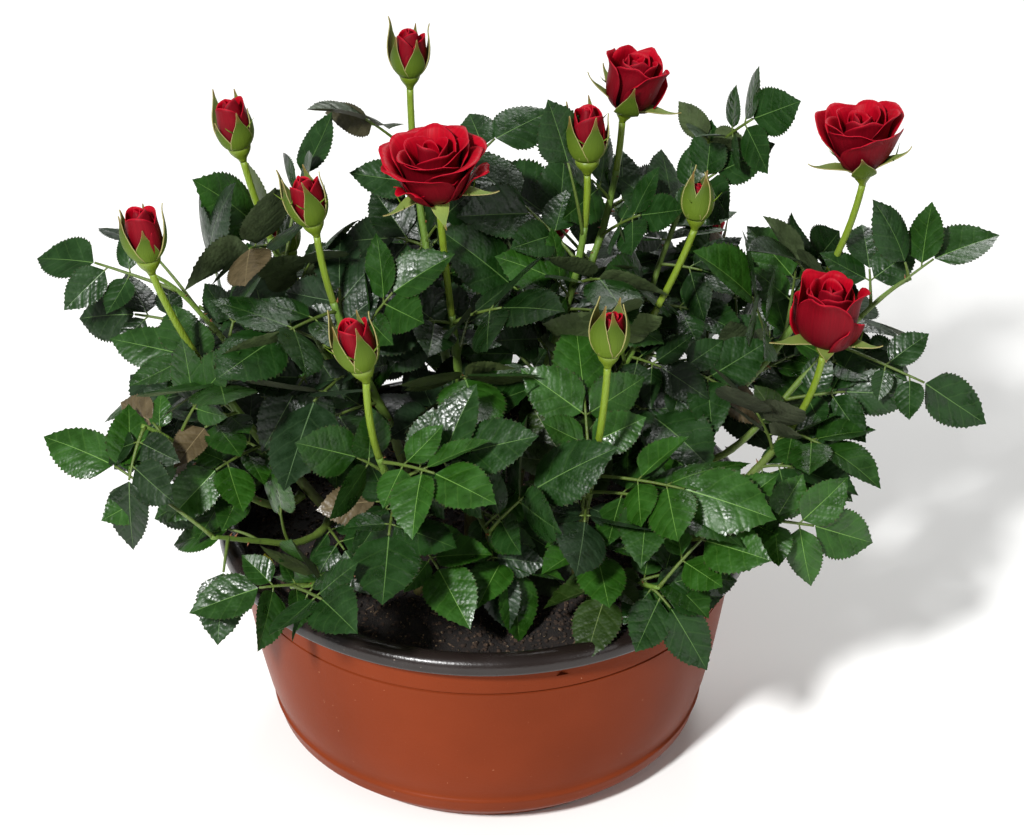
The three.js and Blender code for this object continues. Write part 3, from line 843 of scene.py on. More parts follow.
def length_prop(label, about, value):
    """A length in metres, given in millimetres."""
    return bpy.props.FloatProperty(
        name=label, description=about, default=value * MM, min=0, unit="LENGTH", subtype="DISTANCE"
    )


def share_prop(label, about, value):
    return bpy.props.FloatProperty(name=label, description=about, default=value, min=0, max=1, subtype="FACTOR")


def count_prop(label, about, value):
    return bpy.props.IntProperty(name=label, description=about, default=value, min=0, subtype="UNSIGNED")


class RoseBowlSettings(bpy.types.PropertyGroup):
    bowl_color: color_prop("Bowl", "Terracotta of the outer bowl", "7b351b")
    bowl_rough: share_prop("Bowl roughness", "Roughness of the outer bowl", 0.36)
    rim_color: color_prop("Rim", "Colour of the rolled rim and liner", "19120f")
    rim_rough: share_prop("Rim roughness", "Roughness of the rim", 0.24)
    facets: count_prop("Facets", "Facets round the bowl and rim", 256)


class RoseSoilSettings(bpy.types.PropertyGroup):
    soil_color: color_prop("Soil", "Colour of the damp planting soil", "120d0a")
    crumb: length_prop("Largest crumb", "Width of the largest crumbs of peat", 3.4)
    crumbs: count_prop("Crumbs", "Crumbs of peat per square metre", 110000)
    fibres: count_prop("Fibres", "Pale wood fibres per square metre", 8000)


class RoseStemSettings(bpy.types.PropertyGroup):
    old_bark: color_prop("Old bark", "Colour of the canes at the soil", "4a4524")
    young_bark: color_prop("Young bark", "Colour of the leafy stems", "5f7d2c")
    stalk_color: color_prop("Stalk", "Colour of the bare flower stalks", "6e851c")
    stalk_radius: length_prop("Stalk radius", "Radius of the stalks under the blooms", 1.7)
    prickle: length_prop("Prickle", "Length of the largest prickles", 3.2)
    prickles: count_prop("Prickles", "Prickles per square metre of bark", 5200)
    bristles: count_prop("Bristles", "Bristles per square metre of stalk", 90000)


class RoseLeafSettings(bpy.types.PropertyGroup):
    end_leaflet: length_prop("End leaflet", "Length of an average end leaflet", 45)
    near_pair: length_prop("Upper pair", "Length of the pair next to the end leaflet", 39)
    far_pair: length_prop("Lower pair", "Length of the pair nearer the stem", 29)
    leaflet_width: share_prop("Leaflet width", "Width of a leaflet as a share of its length", 0.72)
    leaf_rough: share_prop("Leaf roughness", "Roughness of the upper faces", 0.37)
    petiole_color: color_prop("Leaf stalk", "Colour of the leaf stalks", "4f6a22")
    fill: count_prop("Small leaves", "Extra small leaves tried along each shoot", 22)


class RoseBloomSettings(bpy.types.PropertyGroup):
    # Painted shade: the rose petals darken to this colour towards their feet, deep in the bloom, and their
    # faint veins take it too.
    petal_shade_and_veins: color_prop("Petal foot", "Colour deep in the blooms", "3a0208")
    petal_inside: color_prop("Petal inside", "Inner face of the petals", "ac041c")
    petal_outside: color_prop("Petal outside", "Outer face of the petals", "740414")
    petal_edge: color_prop("Petal rim", "Rims of the petals", "a80d24")
    sepal_color: color_prop("Sepal", "Outer face of the sepals", "3a4c12")
    sepal_inside: color_prop("Sepal inside", "Inner face of the sepals", "64783c")
    hip_color: color_prop("Hip", "Swelling under a bloom", "64781a")


# The camera looks at the plant's middle from this far, this high above level.
MIDDLE = vec(12.8, 0, 173.2)
SIGHT_LENGTH, SIGHT = 1250, math.radians(31)


class RoseStageSettings(bpy.types.PropertyGroup):
    floor_color: color_prop("Floor", "Colour of the floor", "fafaf8")
    distance: length_prop("Camera distance", "From the camera to the middle of the plant", SIGHT_LENGTH)
    elevation: bpy.props.FloatProperty(
        name="Elevation", description="Above level", default=SIGHT, subtype="ANGLE", unit="ROTATION"
    )
    lens: bpy.props.FloatProperty(
        name="Lens", description="Focal length", default=88.9, min=10, subtype="DISTANCE_CAMERA"
    )


# ---- Bowl, rim and soil -------------------------------------------------------------------------

BOWL_SIDE = [
    (93.5, 0), (95.6, 0.25), (96.5, 1.6), (99.1, 4.2), (101.9, 6.5), (104.6, 8.8), (106.3, 10.8),
    (107.0, 12.1), (107.7, 12.8), (108.9, 13.1), (109.6, 13.9), (110.2, 16.3), (111.2, 19.6), (111.8, 21.2),
    (111.7, 21.8), (111.2, 22.2), (110.9, 22.7), (111.2, 24.4), (112.5, 28.7), (114.2, 34), (116.1, 43),
    (117.9, 52), (119.7, 63.5),
    (121.4, 75), (122.9, 86), (124.1, 95.7), (123.1, 96.1), (123.1, 96.8), (124.4, 97.2), (124.9, 101.5),
    (125.25, 104.7), (125.27, 104.9), (125.45, 107.3), (125.5, 107.5), (125.7, 108.8), (125.75, 109.1),
    (126.0, 111.6), (126.05, 111.9), (126.5, 114.6), (126.6, 115.6),
    (126.2, 116),
]  # fmt: skip
BOWL_INSIDE = [(125.3, 116), (124.9, 115.5), (112.6, 34), (102.9, 12), (90.5, 3)]
NECK_R = 124.55  # the liner where it leaves the bowl
RIM_SIDE = [
    (0, 3.4), (89.5, 3.4), (102.4, 12), (112.1, 34), (NECK_R, 116.3), (131.6, 116.3), (131.9, 115.4),
    (132.3, 114.7), (133.1, 114.35), (134.0, 114.5), (134.7, 115.1), (135.0, 116.2), (134.95, 118.2),
    (134.6, 119.7), (133.9, 121.0), (132.8, 122.0), (131.3, 122.7), (129.5, 123.0), (127.7, 122.9),
    (126.2, 122.4), (125.0, 121.5), (124.2, 120.3), (123.7, 118.6), (123.35, 116.4), (123.05, 113),
    (122.4, 108), (110.6, 34), (100.9, 12), (87.5, 4.9), (0, 4.9),
]  # fmt: skip
# The slot's middle and half width in degrees round the bowl, its lowest and highest point, its depth, and the
# radius past which only the bowl's outer face lies there.
SLOT_ANGLE, SLOT_HALF, SLOT_LOW, SLOT_HIGH, SLOT_DEEP, SLOT_WALL = -73.0, 1.2, 104.8, 107.4, 2.0, 125.0
PLASTIC_CREASE = 50


def slotted(points, angles):
    """Sinks the small slot under the bowl's collar, outside only."""
    away = np.abs((np.degrees(angles) - SLOT_ANGLE + 180) % 360 - 180)
    r = np.hypot(points[..., 0], points[..., 1])
    z = points[..., 2]
    inside = (away[None, :] < SLOT_HALF) & (z > SLOT_LOW) & (z < SLOT_HIGH) & (r > SLOT_WALL)
    share = np.where(inside, (r - SLOT_DEEP) / np.maximum(r, 1e-9), 1.0)
    points[..., :2] *= share[..., None]
    return points


def make_bowl(settings):
    shell = Shell()
    lathe(shell, [(0, 0), *BOWL_SIDE, *BOWL_INSIDE, (0, 3)], settings.facets, shape=slotted)
    mat = moulded_plastic(
        "bowl_plastic", settings.bowl_color, tone("6c2e17"), tone("b98a6c"), settings.bowl_rough,
        spread=0.06, specular=0.04, cloud_scale=9.0, specks=0.035,
    )  # fmt: skip
    settle("planting_bowl", shell.mesh("planting_bowl", [mat], PLASTIC_CREASE), ["bowl"])


def make_rim(settings):
    shell = Shell()
    lathe(shell, RIM_SIDE, settings.facets)
    mat = moulded_plastic(
        "rim_plastic", settings.rim_color, tone("231c1a"), tone("8d8078"), settings.rim_rough,
        spread=0.05, specular=0.44, cloud_scale=30.0, specks=0.06,
    )  # fmt: skip
    settle("rolled_rim", shell.mesh("rolled_rim", [mat], PLASTIC_CREASE), ["rim"])


SOIL_R = 122.2
SOIL_AROUND, SOIL_ROWS = 150, 46
SOIL_SIDE = [(121.9, 100), (110.2, 34), (100.5, 12), (86.5, 5.2)]
SOIL_LUMPS = ((61, 1.5), (33, 1.1), (17, 0.8), (9, 0.5), (5.3, 0.35))  # wave and height


def soil_height(x, y):
    """Gentle lumps, a little higher in the middle and lower by the wall."""
    r = np.hypot(x, y)
    lumps = 0.0
    for i, (wave, high) in enumerate(SOIL_LUMPS):
        turn = 1.1 + i * GOLDEN_STEP
        along = (x * math.cos(turn) + y * math.sin(turn)) / wave * WHOLE_TURN + i
        turn += 0.7
        beside = (y * math.cos(turn) - x * math.sin(turn)) / (wave * 1.27) * WHOLE_TURN + 2 * i
        lumps += high * np.sin(along) * np.sin(beside)
    return SOIL_Z + 0.6 + 1.6 * (1 - (r / 122) ** 2) + lumps * ease(122, 100, r) - 1.5 * ease(104, 121, r)


def crumb_mesh(name, seed, stretch=1.0):
    """A lump with a few faces, one across and sunk a little way into what it lies on."""
    draw, shell = Draw(seed), Shell()
    around = 6
    points = [vec(0, 0, -0.35)]
    for row in (0.25, 0.75):
        for k in range(around):
            r = 0.5 * draw(0.75, 1.1) * math.sin(math.pi * (0.18 + row * 0.62))
            turn = 2 * math.pi * (k + 0.5 * row) / around
            points.append(vec(r * math.cos(turn) * stretch, r * math.sin(turn), row * draw(0.6, 0.9) - 0.3))
    points.append(vec(0, 0, 0.4 * draw(0.8, 1.2)))
    sides = [[i + 1 for i in face] for face in grid_faces(2, around, True)]
    faces = fan(0, 1, around, True) + sides + fan(2 * around + 1, around + 1, around)
    shell.add(np.array(points) / MM, faces)
    return shell.mesh(name)


def make_soil(settings):
    radii = np.linspace(0, 1, SOIL_ROWS + 1)[1:] ** 0.85 * SOIL_R
    angles = np.arange(SOIL_AROUND) * 2 * math.pi / SOIL_AROUND
    c, s = np.cos(angles), np.sin(angles)
    x, y = np.outer(radii, c), np.outer(radii, s)
    top = np.stack([x, y, soil_height(x, y)], -1)
    below = [np.stack([r * c, r * s, np.full(SOIL_AROUND, z)], -1) for r, z in SOIL_SIDE]
    hubs = [[0, 0, float(soil_height(0.0, 0.0))], [0, 0, SOIL_SIDE[-1][1]]]
    points = np.concatenate([top.reshape(-1, 3), *below, hubs])
    shell = Shell()
    shell.add(points, ring_stack(SOIL_ROWS + len(SOIL_SIDE), SOIL_AROUND, downward=True))
    peat = earthy("planting_soil", settings.soil_color, tone("1d1510"), tone("5b4630"), 0.1)
    settle("planting_soil", shell.mesh("planting_soil", [peat]), ["soil"])

    surface = Shell()
    surface.add(top[:-1].reshape(-1, 3), grid_faces(SOIL_ROWS - 1, SOIL_AROUND, True))
    lumps = [crumb_mesh(f"crumb_{i}", 11 + i) for i in range(4)]
    slivers = [crumb_mesh(f"fibre_{i}", 31 + i, 4.5) for i in range(3)]
    dark = earthy("peat_crumbs", settings.soil_color, tone("3c2c20"), tone("8a7458"), 0.16)
    pale = earthy("wood_fibres", tone("46362a"), tone("66543e"), tone("9a8668"), 0.1)
    for name, shapes, many, least, most, seed, finish in (
        ("peat_crumbs", lumps, settings.crumbs, 0.0009, settings.crumb, 3, dark),
        ("wood_fibres", slivers, settings.fibres, 0.0006, 0.0014, 8, pale),
    ):
        strewn = surface.mesh("soil_surface")
        strewn.flip_normals()
        strew(name, strewn, shapes, many, least, most, seed, finish, ["soil"])


# ---- Canes, stems and stalks --------------------------------------------------------------------


def smooth_wander(seed, count, size):
    """Small steady bends off a straight course, for each of count steps."""
    draw = Draw(seed)
    t = np.linspace(0, 1, count)
    out = np.zeros((count, 3))
    for axis in range(3):
        for wave in (2.3, 4.7, 8.1):
            out[:, axis] += size / wave * 2 * math.sin(1) * np.sin(WHOLE_TURN * (t * wave + draw()))
    return out * np.sin(math.pi * t)[:, None]


def limb_path(name, start, to, step=3.5):
    curve = CURVES[name]
    count = max(6, int(curve.length * (to - start) / step))
    shares = np.linspace(start, to, count)
    return shares, np.array([curve.at(t) for t in shares])


def limb_radius(name, shares, stalk):
    """Radius along a shoot: a flared foot, the cane, the leafy stem and the stalk."""
    start, to = leafy_stretch(name)
    if name not in FLOWERING:
        return np.interp(shares, [0, 0.05, 1], [STEM_R * 1.25, STEM_R, TWIG_R])
    flare = (CANE_FOOT_R - CANE_R) * np.exp(-shares * 22)
    radii = [CANE_R, STEM_R + 0.35, STALK_R + 0.15, stalk, stalk]
    return flare + np.interp(shares, [0, start, to, to + 0.03, 1], radii)


# How many joints swell a shoot, by what share and over what length, and how deep a cane's foot is sunk.
JOINTS, JOINT_SWELL, JOINT_LENGTH, FOOT_SUNK = 8, 0.13, 2.2, 3
# What is left of a cane that was pruned: its line and radii.
STUB = [(50, -73, 104), (50.2, -73, 110), (50.6, -73.2, 116), (50.7, -73.2, 116.6)]
STUB_R = [2.6, 2.3, 2.2, 1.7]


def prickle_mesh():
    """A prickle one unit long on an oval foot, bent over towards its tip."""
    around, shell = 6, Shell()
    rings = [(0.30, -0.04, 0), (0.17, 0.3, 0.02), (0.08, 0.65, 0.10)]  # radius, height and bend
    angles = np.arange(around) * math.pi / 3
    points = [vec(r * math.cos(a) + bend, r * 0.7 * math.sin(a), z) for r, z, bend in rings for a in angles]
    faces = grid_faces(3, around, True) + [[5, 4, 3, 2, 1, 0]] + fan(3 * around, 2 * around, around)
    shell.add(np.array(points + [vec(0.22, 0, 1)]) / MM, faces)
    return shell.mesh("prickle")


def bristle_mesh():
    """A hair one unit long with three sides."""
    shell = Shell()
    points = [(0.09, 0, -0.05), (-0.045, 0.08, -0.05), (-0.045, -0.08, -0.05), (0.02, 0, 1)]
    shell.add(np.array(points) / MM, [[0, 2, 1], [0, 1, 3], [1, 2, 3], [2, 0, 3]])
    return shell.mesh("bristle")


def make_stems(settings):
    """Canes and leafy stems in one piece, flower stalks in another, each with its prickles or bristles."""
    bark = living_bark("cane_bark", settings.old_bark, settings.young_bark)
    stalk_skin = living_bark("stalk_skin", tone("667a24"), settings.stalk_color, 0.42)
    stalk_r = settings.stalk_radius / MM
    canes, stalks = Shell(), Shell()
    for i, name in enumerate(CURVES):
        draw, flowers = Draw(900 + i), name in FLOWERING
        start, to = leafy_stretch(name)
        shares, path = limb_path(name, 0.0, to + 0.01 if flowers else 1.0)
        radii = limb_radius(name, shares, stalk_r)
        for joint in np.linspace(start, to, JOINTS):
            off = (shares - joint) * CURVES[name].length / JOINT_LENGTH
            radii = radii * (1 + JOINT_SWELL * np.exp(-(off**2)))
        path = path + smooth_wander(40 + i, len(path), 0.35)
        path[0][2] = SOIL_Z - FOOT_SUNK if flowers else path[0][2]
        age = ease(105, 215, path[:, 2]) if flowers else 0.55 + 0.4 * shares
        tube(canes, path, radii, 12, mark=age, relief=0.035, draw=draw)
        if flowers:
            shares, path = limb_path(name, to, 1.0, 3.0)
            greener = ease(0.0, 0.6, (shares - to) / (1 - to))
            tube(stalks, path, limb_radius(name, shares, stalk_r), 14, mark=greener, relief=0.02, draw=draw)
    tube(canes, STUB, STUB_R, 14, mark=1.0)
    shoots = [f"cane_{name}" for name in FLOWERING] + [f"leaves_{name}" for name in CURVES]
    blooms = [f"{shoot['bloom']}_{name}" for name, shoot in FLOWERING.items()]
    cane_mesh, stalk_mesh = canes.mesh("canes", [bark]), stalks.mesh("flower_stalks", [stalk_skin])
    carriers = cane_mesh.copy(), stalk_mesh.copy()
    settle("canes", cane_mesh, shoots)
    settle("flower_stalks", stalk_mesh, blooms)
    longest = settings.prickle
    for name, carrier, shape, many, least, most, color, nodes in (
        ("prickles", carriers[0], prickle_mesh(), settings.prickles, 0.4 * longest, longest, "7a4a2a", shoots),
        ("bristles", carriers[1], bristle_mesh(), settings.bristles, 0.0005, 0.0011, "7d8f3a", blooms),
    ):
        skin = material(name, tone(color), 0.5)
        strew(name, carrier, [shape], many, least, most, 5, skin, nodes)


# ---- Leaves -------------------------------------------------------------------------------------

BLADE_ROWS = 9
TEETH = ((0.27, 0.945), (0.58, 1.035), (0.78, 0.95))  # notch, tooth and notch between two rows
FACE, RIB, UNDER = 0, 1, 2  # the parts of a blade
# How much each form folds along its midrib, arches over, cups and twists.
BLADE_FORMS = (
    (0.12, 0.16, 0.35, 0.0),
    (0.24, 0.26, 0.15, 0.16),
    (0.05, 0.36, 0.65, -0.18),
    (-0.06, 0.12, 0.30, 0.14),
    (0.34, 0.20, 0.1, -0.10),
    (0.20, -0.10, 0.45, 0.10),
)

# Upper face, midrib and underside of each tint, dealt out by leaf.
LEAF_TINTS = (
    ("12290c", "486232", "3d4a2c"),
    ("193810", "4e6e34", "43512f"),
    ("1e400f", "567a34", "495832"),
    ("254d10", "5e8438", "4b5a2f"),
    ("1b3019", "4c6440", "3e4430"),
    ("243810", "566634", "48442e"),
    ("a8a431", "c2be5a", "8f8c38"),
    ("5c5038", "7d7050", "6b5f45"),
)
YELLOW, BROWN = 6, 7


def blade_mesh(name, form, width):
    """A toothed leaflet one unit long from the origin along x, facing z, with a groove along its midrib. Its
    part says face, midrib or underside."""
    fold, arch, cup, twist = form
    n = BLADE_ROWS

    def half(s):
        outline = s**0.6 * (1 - s) ** 0.95 / (0.387**0.6 * 0.613**0.95)
        return width / 2 * outline * (1 - 0.3 * ease(0.75, 1.0, s))

    def bent(x, y, z):
        return vec(x, y, z + fold * abs(y) - arch * x * x * 0.6 - cup * y * y + twist * x * y)

    points, flat, faces, parts = [bent(0, 0, 0), bent(1, 0, 0)], [(0, 0.5), (1, 0.5)], [], []
    base, tip = 0, 1

    def add(x, y, z=0.0):
        points.append(bent(x, y, z))
        flat.append((x, y + 0.5))
        return len(points) - 1

    def edge_point(s, share):
        return add(min(s, 0.99), half(min(s, 0.985)) * share, 0.002)

    rows = []
    for j in range(1, n):
        s = j / n
        w = half(s)
        middle = max(0.02, s - 0.42 * w)
        vein = 0.0065 * (1 - s) + 0.002
        row = dict(under=add(middle, 0, -0.016))
        for side in (1, -1):
            row[side] = (
                add(middle, vein * side, -0.005),
                add(s * 0.55 + middle * 0.45 + 0.01, w * 0.52 * side, 0.012),
                add(s + 0.016, (w * 1.02 + 0.004) * side, 0.004),
                [edge_point(s + step / n, share * side) for step, share in TEETH],
            )
        rows.append(row)

    def face(corners, part, side):
        faces.append(corners if side < 0 else corners[::-1])
        parts.append(part)

    first, last = rows[0], rows[-1]
    for side in (1, -1):
        rib, mid, tooth, _ = first[side]
        face([base, mid, rib], FACE, side)
        face([base, tooth, mid], FACE, side)
        face([base, first["under"], tooth], UNDER, side)
        for a, b in zip(rows, rows[1:]):
            rib, mid, tooth, edge = a[side]
            rib2, mid2, tooth2, _ = b[side]
            face([rib, mid, mid2, rib2], FACE, side)
            face([mid, tooth, *edge, tooth2, mid2], FACE, side)
            face([tooth, a["under"], b["under"], tooth2, *edge[::-1]], UNDER, side)
        rib, mid, tooth, edge = last[side]
        face([rib, mid, tip], FACE, side)
        face([mid, tooth, *edge, tip], FACE, side)
        face([tooth, last["under"], tip, *edge[::-1]], UNDER, side)
    face([base, first[1][0], first[-1][0]], RIB, -1)
    for a, b in zip(rows, rows[1:]):
        face([a[-1][0], a[1][0], b[1][0], b[-1][0]], RIB, 1)
    face([last[-1][0], last[1][0], tip], RIB, 1)
    shell = Shell()
    shell.add(np.array(points) / MM, faces, uv=flat)
    mesh = shell.mesh(name, crease=40)
    put_values(mesh, "part", "INT", "FACE", parts)
    return mesh


TO_LIGHT = vec(-0.14, -0.42, 0)  # blades turn a little to the side that the light comes from
LEAFLET_SPOTS = (0.3, 0.65, 0.95)  # where along a leaflet its room is looked at
BLOOM_ROOM = ((17, 1.0), (5, 0.62))  # height above a bloom's foot, and share of its half width


class Crown:
    """Leaflets and leaf stalks gathered by quarter, with the room that they and the blooms take up."""

    def __init__(self):
        self.feet = {quarter: [] for quarter in QUARTERS}
        self.stalks = {quarter: Shell() for quarter in QUARTERS}
        self.taken = []
        self.blooms = [
            (bloom_pose(name)(vec(0, 0, height)), share * shoot["width"] / 2)
            for name, shoot in FLOWERING.items()
            for height, share in BLOOM_ROOM
        ]

    def in_bloom(self, spots):
        return any(np.linalg.norm(spot - middle) < room for spot in spots for middle, room in self.blooms)

    def roomy(self, spots, clear):
        if not self.taken:
            return True
        taken = np.array(self.taken)
        return all(np.min(np.linalg.norm(taken - spot, axis=1)) > clear for spot in spots)

    def blade(self, quarter, foot, way, normal, length, tint, draw):
        """One leaflet: its point's place, turn, size, form and tint."""
        normal = across(normal, way)
        basis = Matrix(np.column_stack([way, np.cross(normal, way), normal]).tolist())
        size = (length, length * draw(0.9, 1.1), length * draw(0.7, 1.3))
        form = min(len(BLADE_FORMS) - 1, int(draw() * len(BLADE_FORMS)))
        self.feet[quarter].append((foot, tuple(basis.to_euler("XYZ")), size, form, tint))
        self.taken += [foot + way * length * share for share in LEAFLET_SPOTS]


# Where the crown stays open to the sky, the rim and the soil, seen from the front and above: places on the
# plane through the plant's middle square to the line of sight, as distance to the right, height and radius.
OPENINGS = (
    (4, 137, 21), (-79, 112, 16), (132, 125, 11), (-206, 23, 20), (-208, -35, 13), (209, 58, 17), (219, 28, 18),
    (160, 11, 10), (-157, 83, 11), (-204, 90, 13), (-119, -56, 14), (-137, -63, 13), (-45, -96, 15),
)  # fmt: skip


def in_opening(point):
    """Whether a point would stand in an opening."""
    off = np.asarray(point) - MIDDLE
    depth = SIGHT_LENGTH + off[1] * math.cos(SIGHT) - off[2] * math.sin(SIGHT)
    right, height = off[0], off[1] * math.sin(SIGHT) + off[2] * math.cos(SIGHT)
    grow = SIGHT_LENGTH / depth
    return any(math.hypot(right * grow - x, height * grow - up) < wide for x, up, wide in OPENINGS)


def clear_of_rim(point):
    """Whether a point keeps off the soil, and leaves the rim in view."""
    if math.hypot(point[0], point[1]) < 106:
        return point[2] > SOIL_Z + 4
    return point[2] > (166 if point[1] < 60 else 130)


def over_rim(foot, way, length):
    """Lifts a leaflet that would hang far below the rim of the bowl."""
    for _ in range(12):
        tip = foot + way * length
        if tip[2] > 104 or math.hypot(tip[0], tip[1]) < 100:
            break
        way = unit(way + UP * 0.12)
    return way


END_STALK = 8  # from the joint of the topmost pair to the end leaflet
PAIRS = ((9.5, 58), (25, 68))  # how far back each pair stands, and how far it swings out
STALK_STEPS = 9


def aimed_pose(plan, end_length):
    """The end joint, way and size of a leaf whose tip has a place of its own."""
    way = plan["aim"] - plan["root"]
    end = plan["root"] + way * 0.5 + UP * np.linalg.norm(way) * 0.05
    x = unit(plan["aim"] - end)
    full_length = end_length + END_STALK
    size = float(np.clip(np.linalg.norm(plan["aim"] - end) / full_length, 0.75, 1.2))
    return plan["aim"] - x * size * full_length, x, size


def grow_leaf(crown, quarter, plan, pose, tint, lengths, draw, clear=0.0):
    """A compound leaf on its stalk: an end leaflet and its pairs. Where there is no room it isn't grown. clear
    is the room that a small leaf between the others needs."""
    turn, scale, sides = pose
    end, x, _, _ = leaf_pose(plan, turn, scale)
    size = plan["size"] * scale
    if "aim" in plan:
        end, x, size = aimed_pose(plan, lengths[0])
        plan["facing"] = plan["facing"] - vec(0, plan["front"], 0)
    z = across(UP * 0.8 + plan["outward"] * 0.12 + plan["facing"] * 0.8 + TO_LIGHT, x)
    tip = end + x * END_STALK * size
    bend = (plan["root"] + end) / 2 + z * plan["reach"] * scale * 0.07
    shares = np.linspace(0, 1, STALK_STEPS)[:, None]
    path = (1 - shares) ** 2 * plan["root"] + 2 * shares * (1 - shares) * bend + shares**2 * tip
    steps = np.linalg.norm(np.diff(path, axis=0), axis=1)
    along = np.concatenate([[0], np.cumsum(steps)])

    def back(distance):
        reach = max(along[-1] - distance, along[-1] * 0.15)
        return np.array([np.interp(reach, along, path[:, k]) for k in range(3)])

    blades = [(tip, 0.0, lengths[0] * size, 0.0)]
    for length, (distance, swing) in zip(lengths[1 : 1 + plan["pairs"]], PAIRS):
        for side, kept in zip((1, -1), sides):
            long = length * size * draw(0.92, 1.08) * (1 if kept else 0.62)
            blades.append((back(distance * size), side * math.radians(swing + draw(-7, 9)), long, side))
    ready = []
    for foot, swing, length, side in blades:
        way = turned(x, z, swing)
        lift = math.radians(draw(-6, 24) if side else draw(-26, 6))
        way = over_rim(foot, unit(way * math.cos(lift) + z * math.sin(lift)), length)
        normal = turned(across(z, way), way, math.radians(draw(-24, 24)) - 0.12 * side)
        ready.append((foot + way * (2.2 if side else 0.5), way, normal, length))
    reach = [[foot + way * length * share for share in LEAFLET_SPOTS] for foot, way, _, length in ready]
    middles = [foot + way * length * 0.5 for foot, way, _, length in ready]
    if crown.in_bloom(reach[0]) or ("aim" not in plan and in_opening(middles[0])):
        return
    if clear:
        spots = [spot for leaflet in reach for spot in leaflet]
        if any(in_opening(spot) or not clear_of_rim(spot) for spot in spots) or not crown.roomy(spots, clear):
            return
    stalks = crown.stalks[quarter]
    radius = np.interp(shares[:, 0], [0, 0.12, 1], [1.35, 0.95, 0.6])
    tube(stalks, path, radius * (0.75 + 0.25 * scale), 6, mark=0.8)
    for (foot, _, _, side), (start, way, normal, length), middle, spots in zip(blades, ready, middles, reach):
        if side and (in_opening(middle) or crown.in_bloom(spots)):
            continue
        if side:
            tube(stalks, [foot, (foot + start) / 2, start + way * 0.8], [0.5, 0.45, 0.4], 5, mark=0.8)
        dead = plan.get("withered") and not side
        crown.blade(quarter, start, way, normal, length * (0.8 if dead else 1), BROWN if dead else tint, draw)


def tint_for(plan, draw):
    """Brighter leaves low and in front, darker and greyer ones high up, with a few olive."""
    low = 1 - ease(130, 260, plan["root"][2] - 0.25 * plan["root"][1])
    chance = draw()
    if draw() < 0.05:
        return 5
    if chance < 0.25 + 0.3 * low:
        return 3 if draw() < 0.25 + 0.35 * low else 2
    return 1 if chance < 0.75 else (0 if draw() < 0.6 else 4)


def grow_planned(crown, quarter_of, lengths):
    """The leaves that the solids hold, some drawn to a place of their own. Returns the plans of each shoot."""
    plans = {}
    for i, name in enumerate(CURVES):
        corners = np.array([v.co for v in frame["nodes"][f"leaves_{name}"].data.vertices]) / MM
        draw = Draw(5000 + 31 * i)
        plans[name] = leaf_plans(name, 101 + 7919 * i)
        for number, plan in enumerate(plans[name]):
            pose = placed_form(plan, corners)
            if not pose:
                continue
            if number in AIMED.get(name, {}):
                place = AIMED[name][number]
                x, y, z, front, pairs = place + (0, 2)[len(place) - 3 :]
                plan.update(aim=vec(x, y, z), front=front, pairs=pairs)
            plan["withered"] = WITHERED.get(name) == number
            grow_leaf(crown, quarter_of[name], plan, pose, tint_for(plan, draw), lengths, draw)
    return plans


def grow_between(crown, quarter_of, lengths, plans, tries):
    """Smaller leaves where there is room. Each starts from its shoot's first plan and draws its place and form
    anew, and keeps that plan's aim or withered end leaflet on the few shoots where it has one."""
    for i, name in enumerate(CURVES):
        draw = Draw(77000 + 17 * i)
        start, to = leafy_stretch(name)
        for _ in range(tries):
            plan = dict(plans[name][0])
            t = start + (to - start) * draw(0.02, 0.96)
            plan["root"], plan["along"] = CURVES[name].at(t), CURVES[name].way(t)
            plan["side"] = across(vec(1, 0, 0), plan["along"])
            plan["outward"] = unit(vec(plan["root"][0], plan["root"][1], 0))
            plan.update(turn=draw(0, 2 * math.pi), reach=LEAF_REACH * draw(0.45, 0.8))
            plan.update(droop=draw(0.0, 0.35), size=draw(0.85, 1.1))
            plan["facing"] = vec(draw(-0.5, 0.5), draw(-0.5, 0.5), 0)
            pose = 0, draw(0.6, 0.85), (True, True)
            tint = tint_for(plan, draw)
            plan["pairs"] = 2 if draw() < 0.4 else 1
            grow_leaf(crown, quarter_of[name], plan, pose, tint, lengths, draw, clear=6.5)


def leaf_finishes(rough):
    """Upper face, midrib and underside of each tint."""
    return [
        (
            leaf_face(f"leaf_{i}_face", tone(face), tone(rib), rough, 0.11, 0.28),
            material(f"leaf_{i}_midrib", tone(rib), 0.45),
            leaf_face(f"leaf_{i}_underside", tone(back), tone(rib), 0.6, 0.05, 0.3),
        )
        for i, (face, rib, back) in enumerate(LEAF_TINTS)
    ]


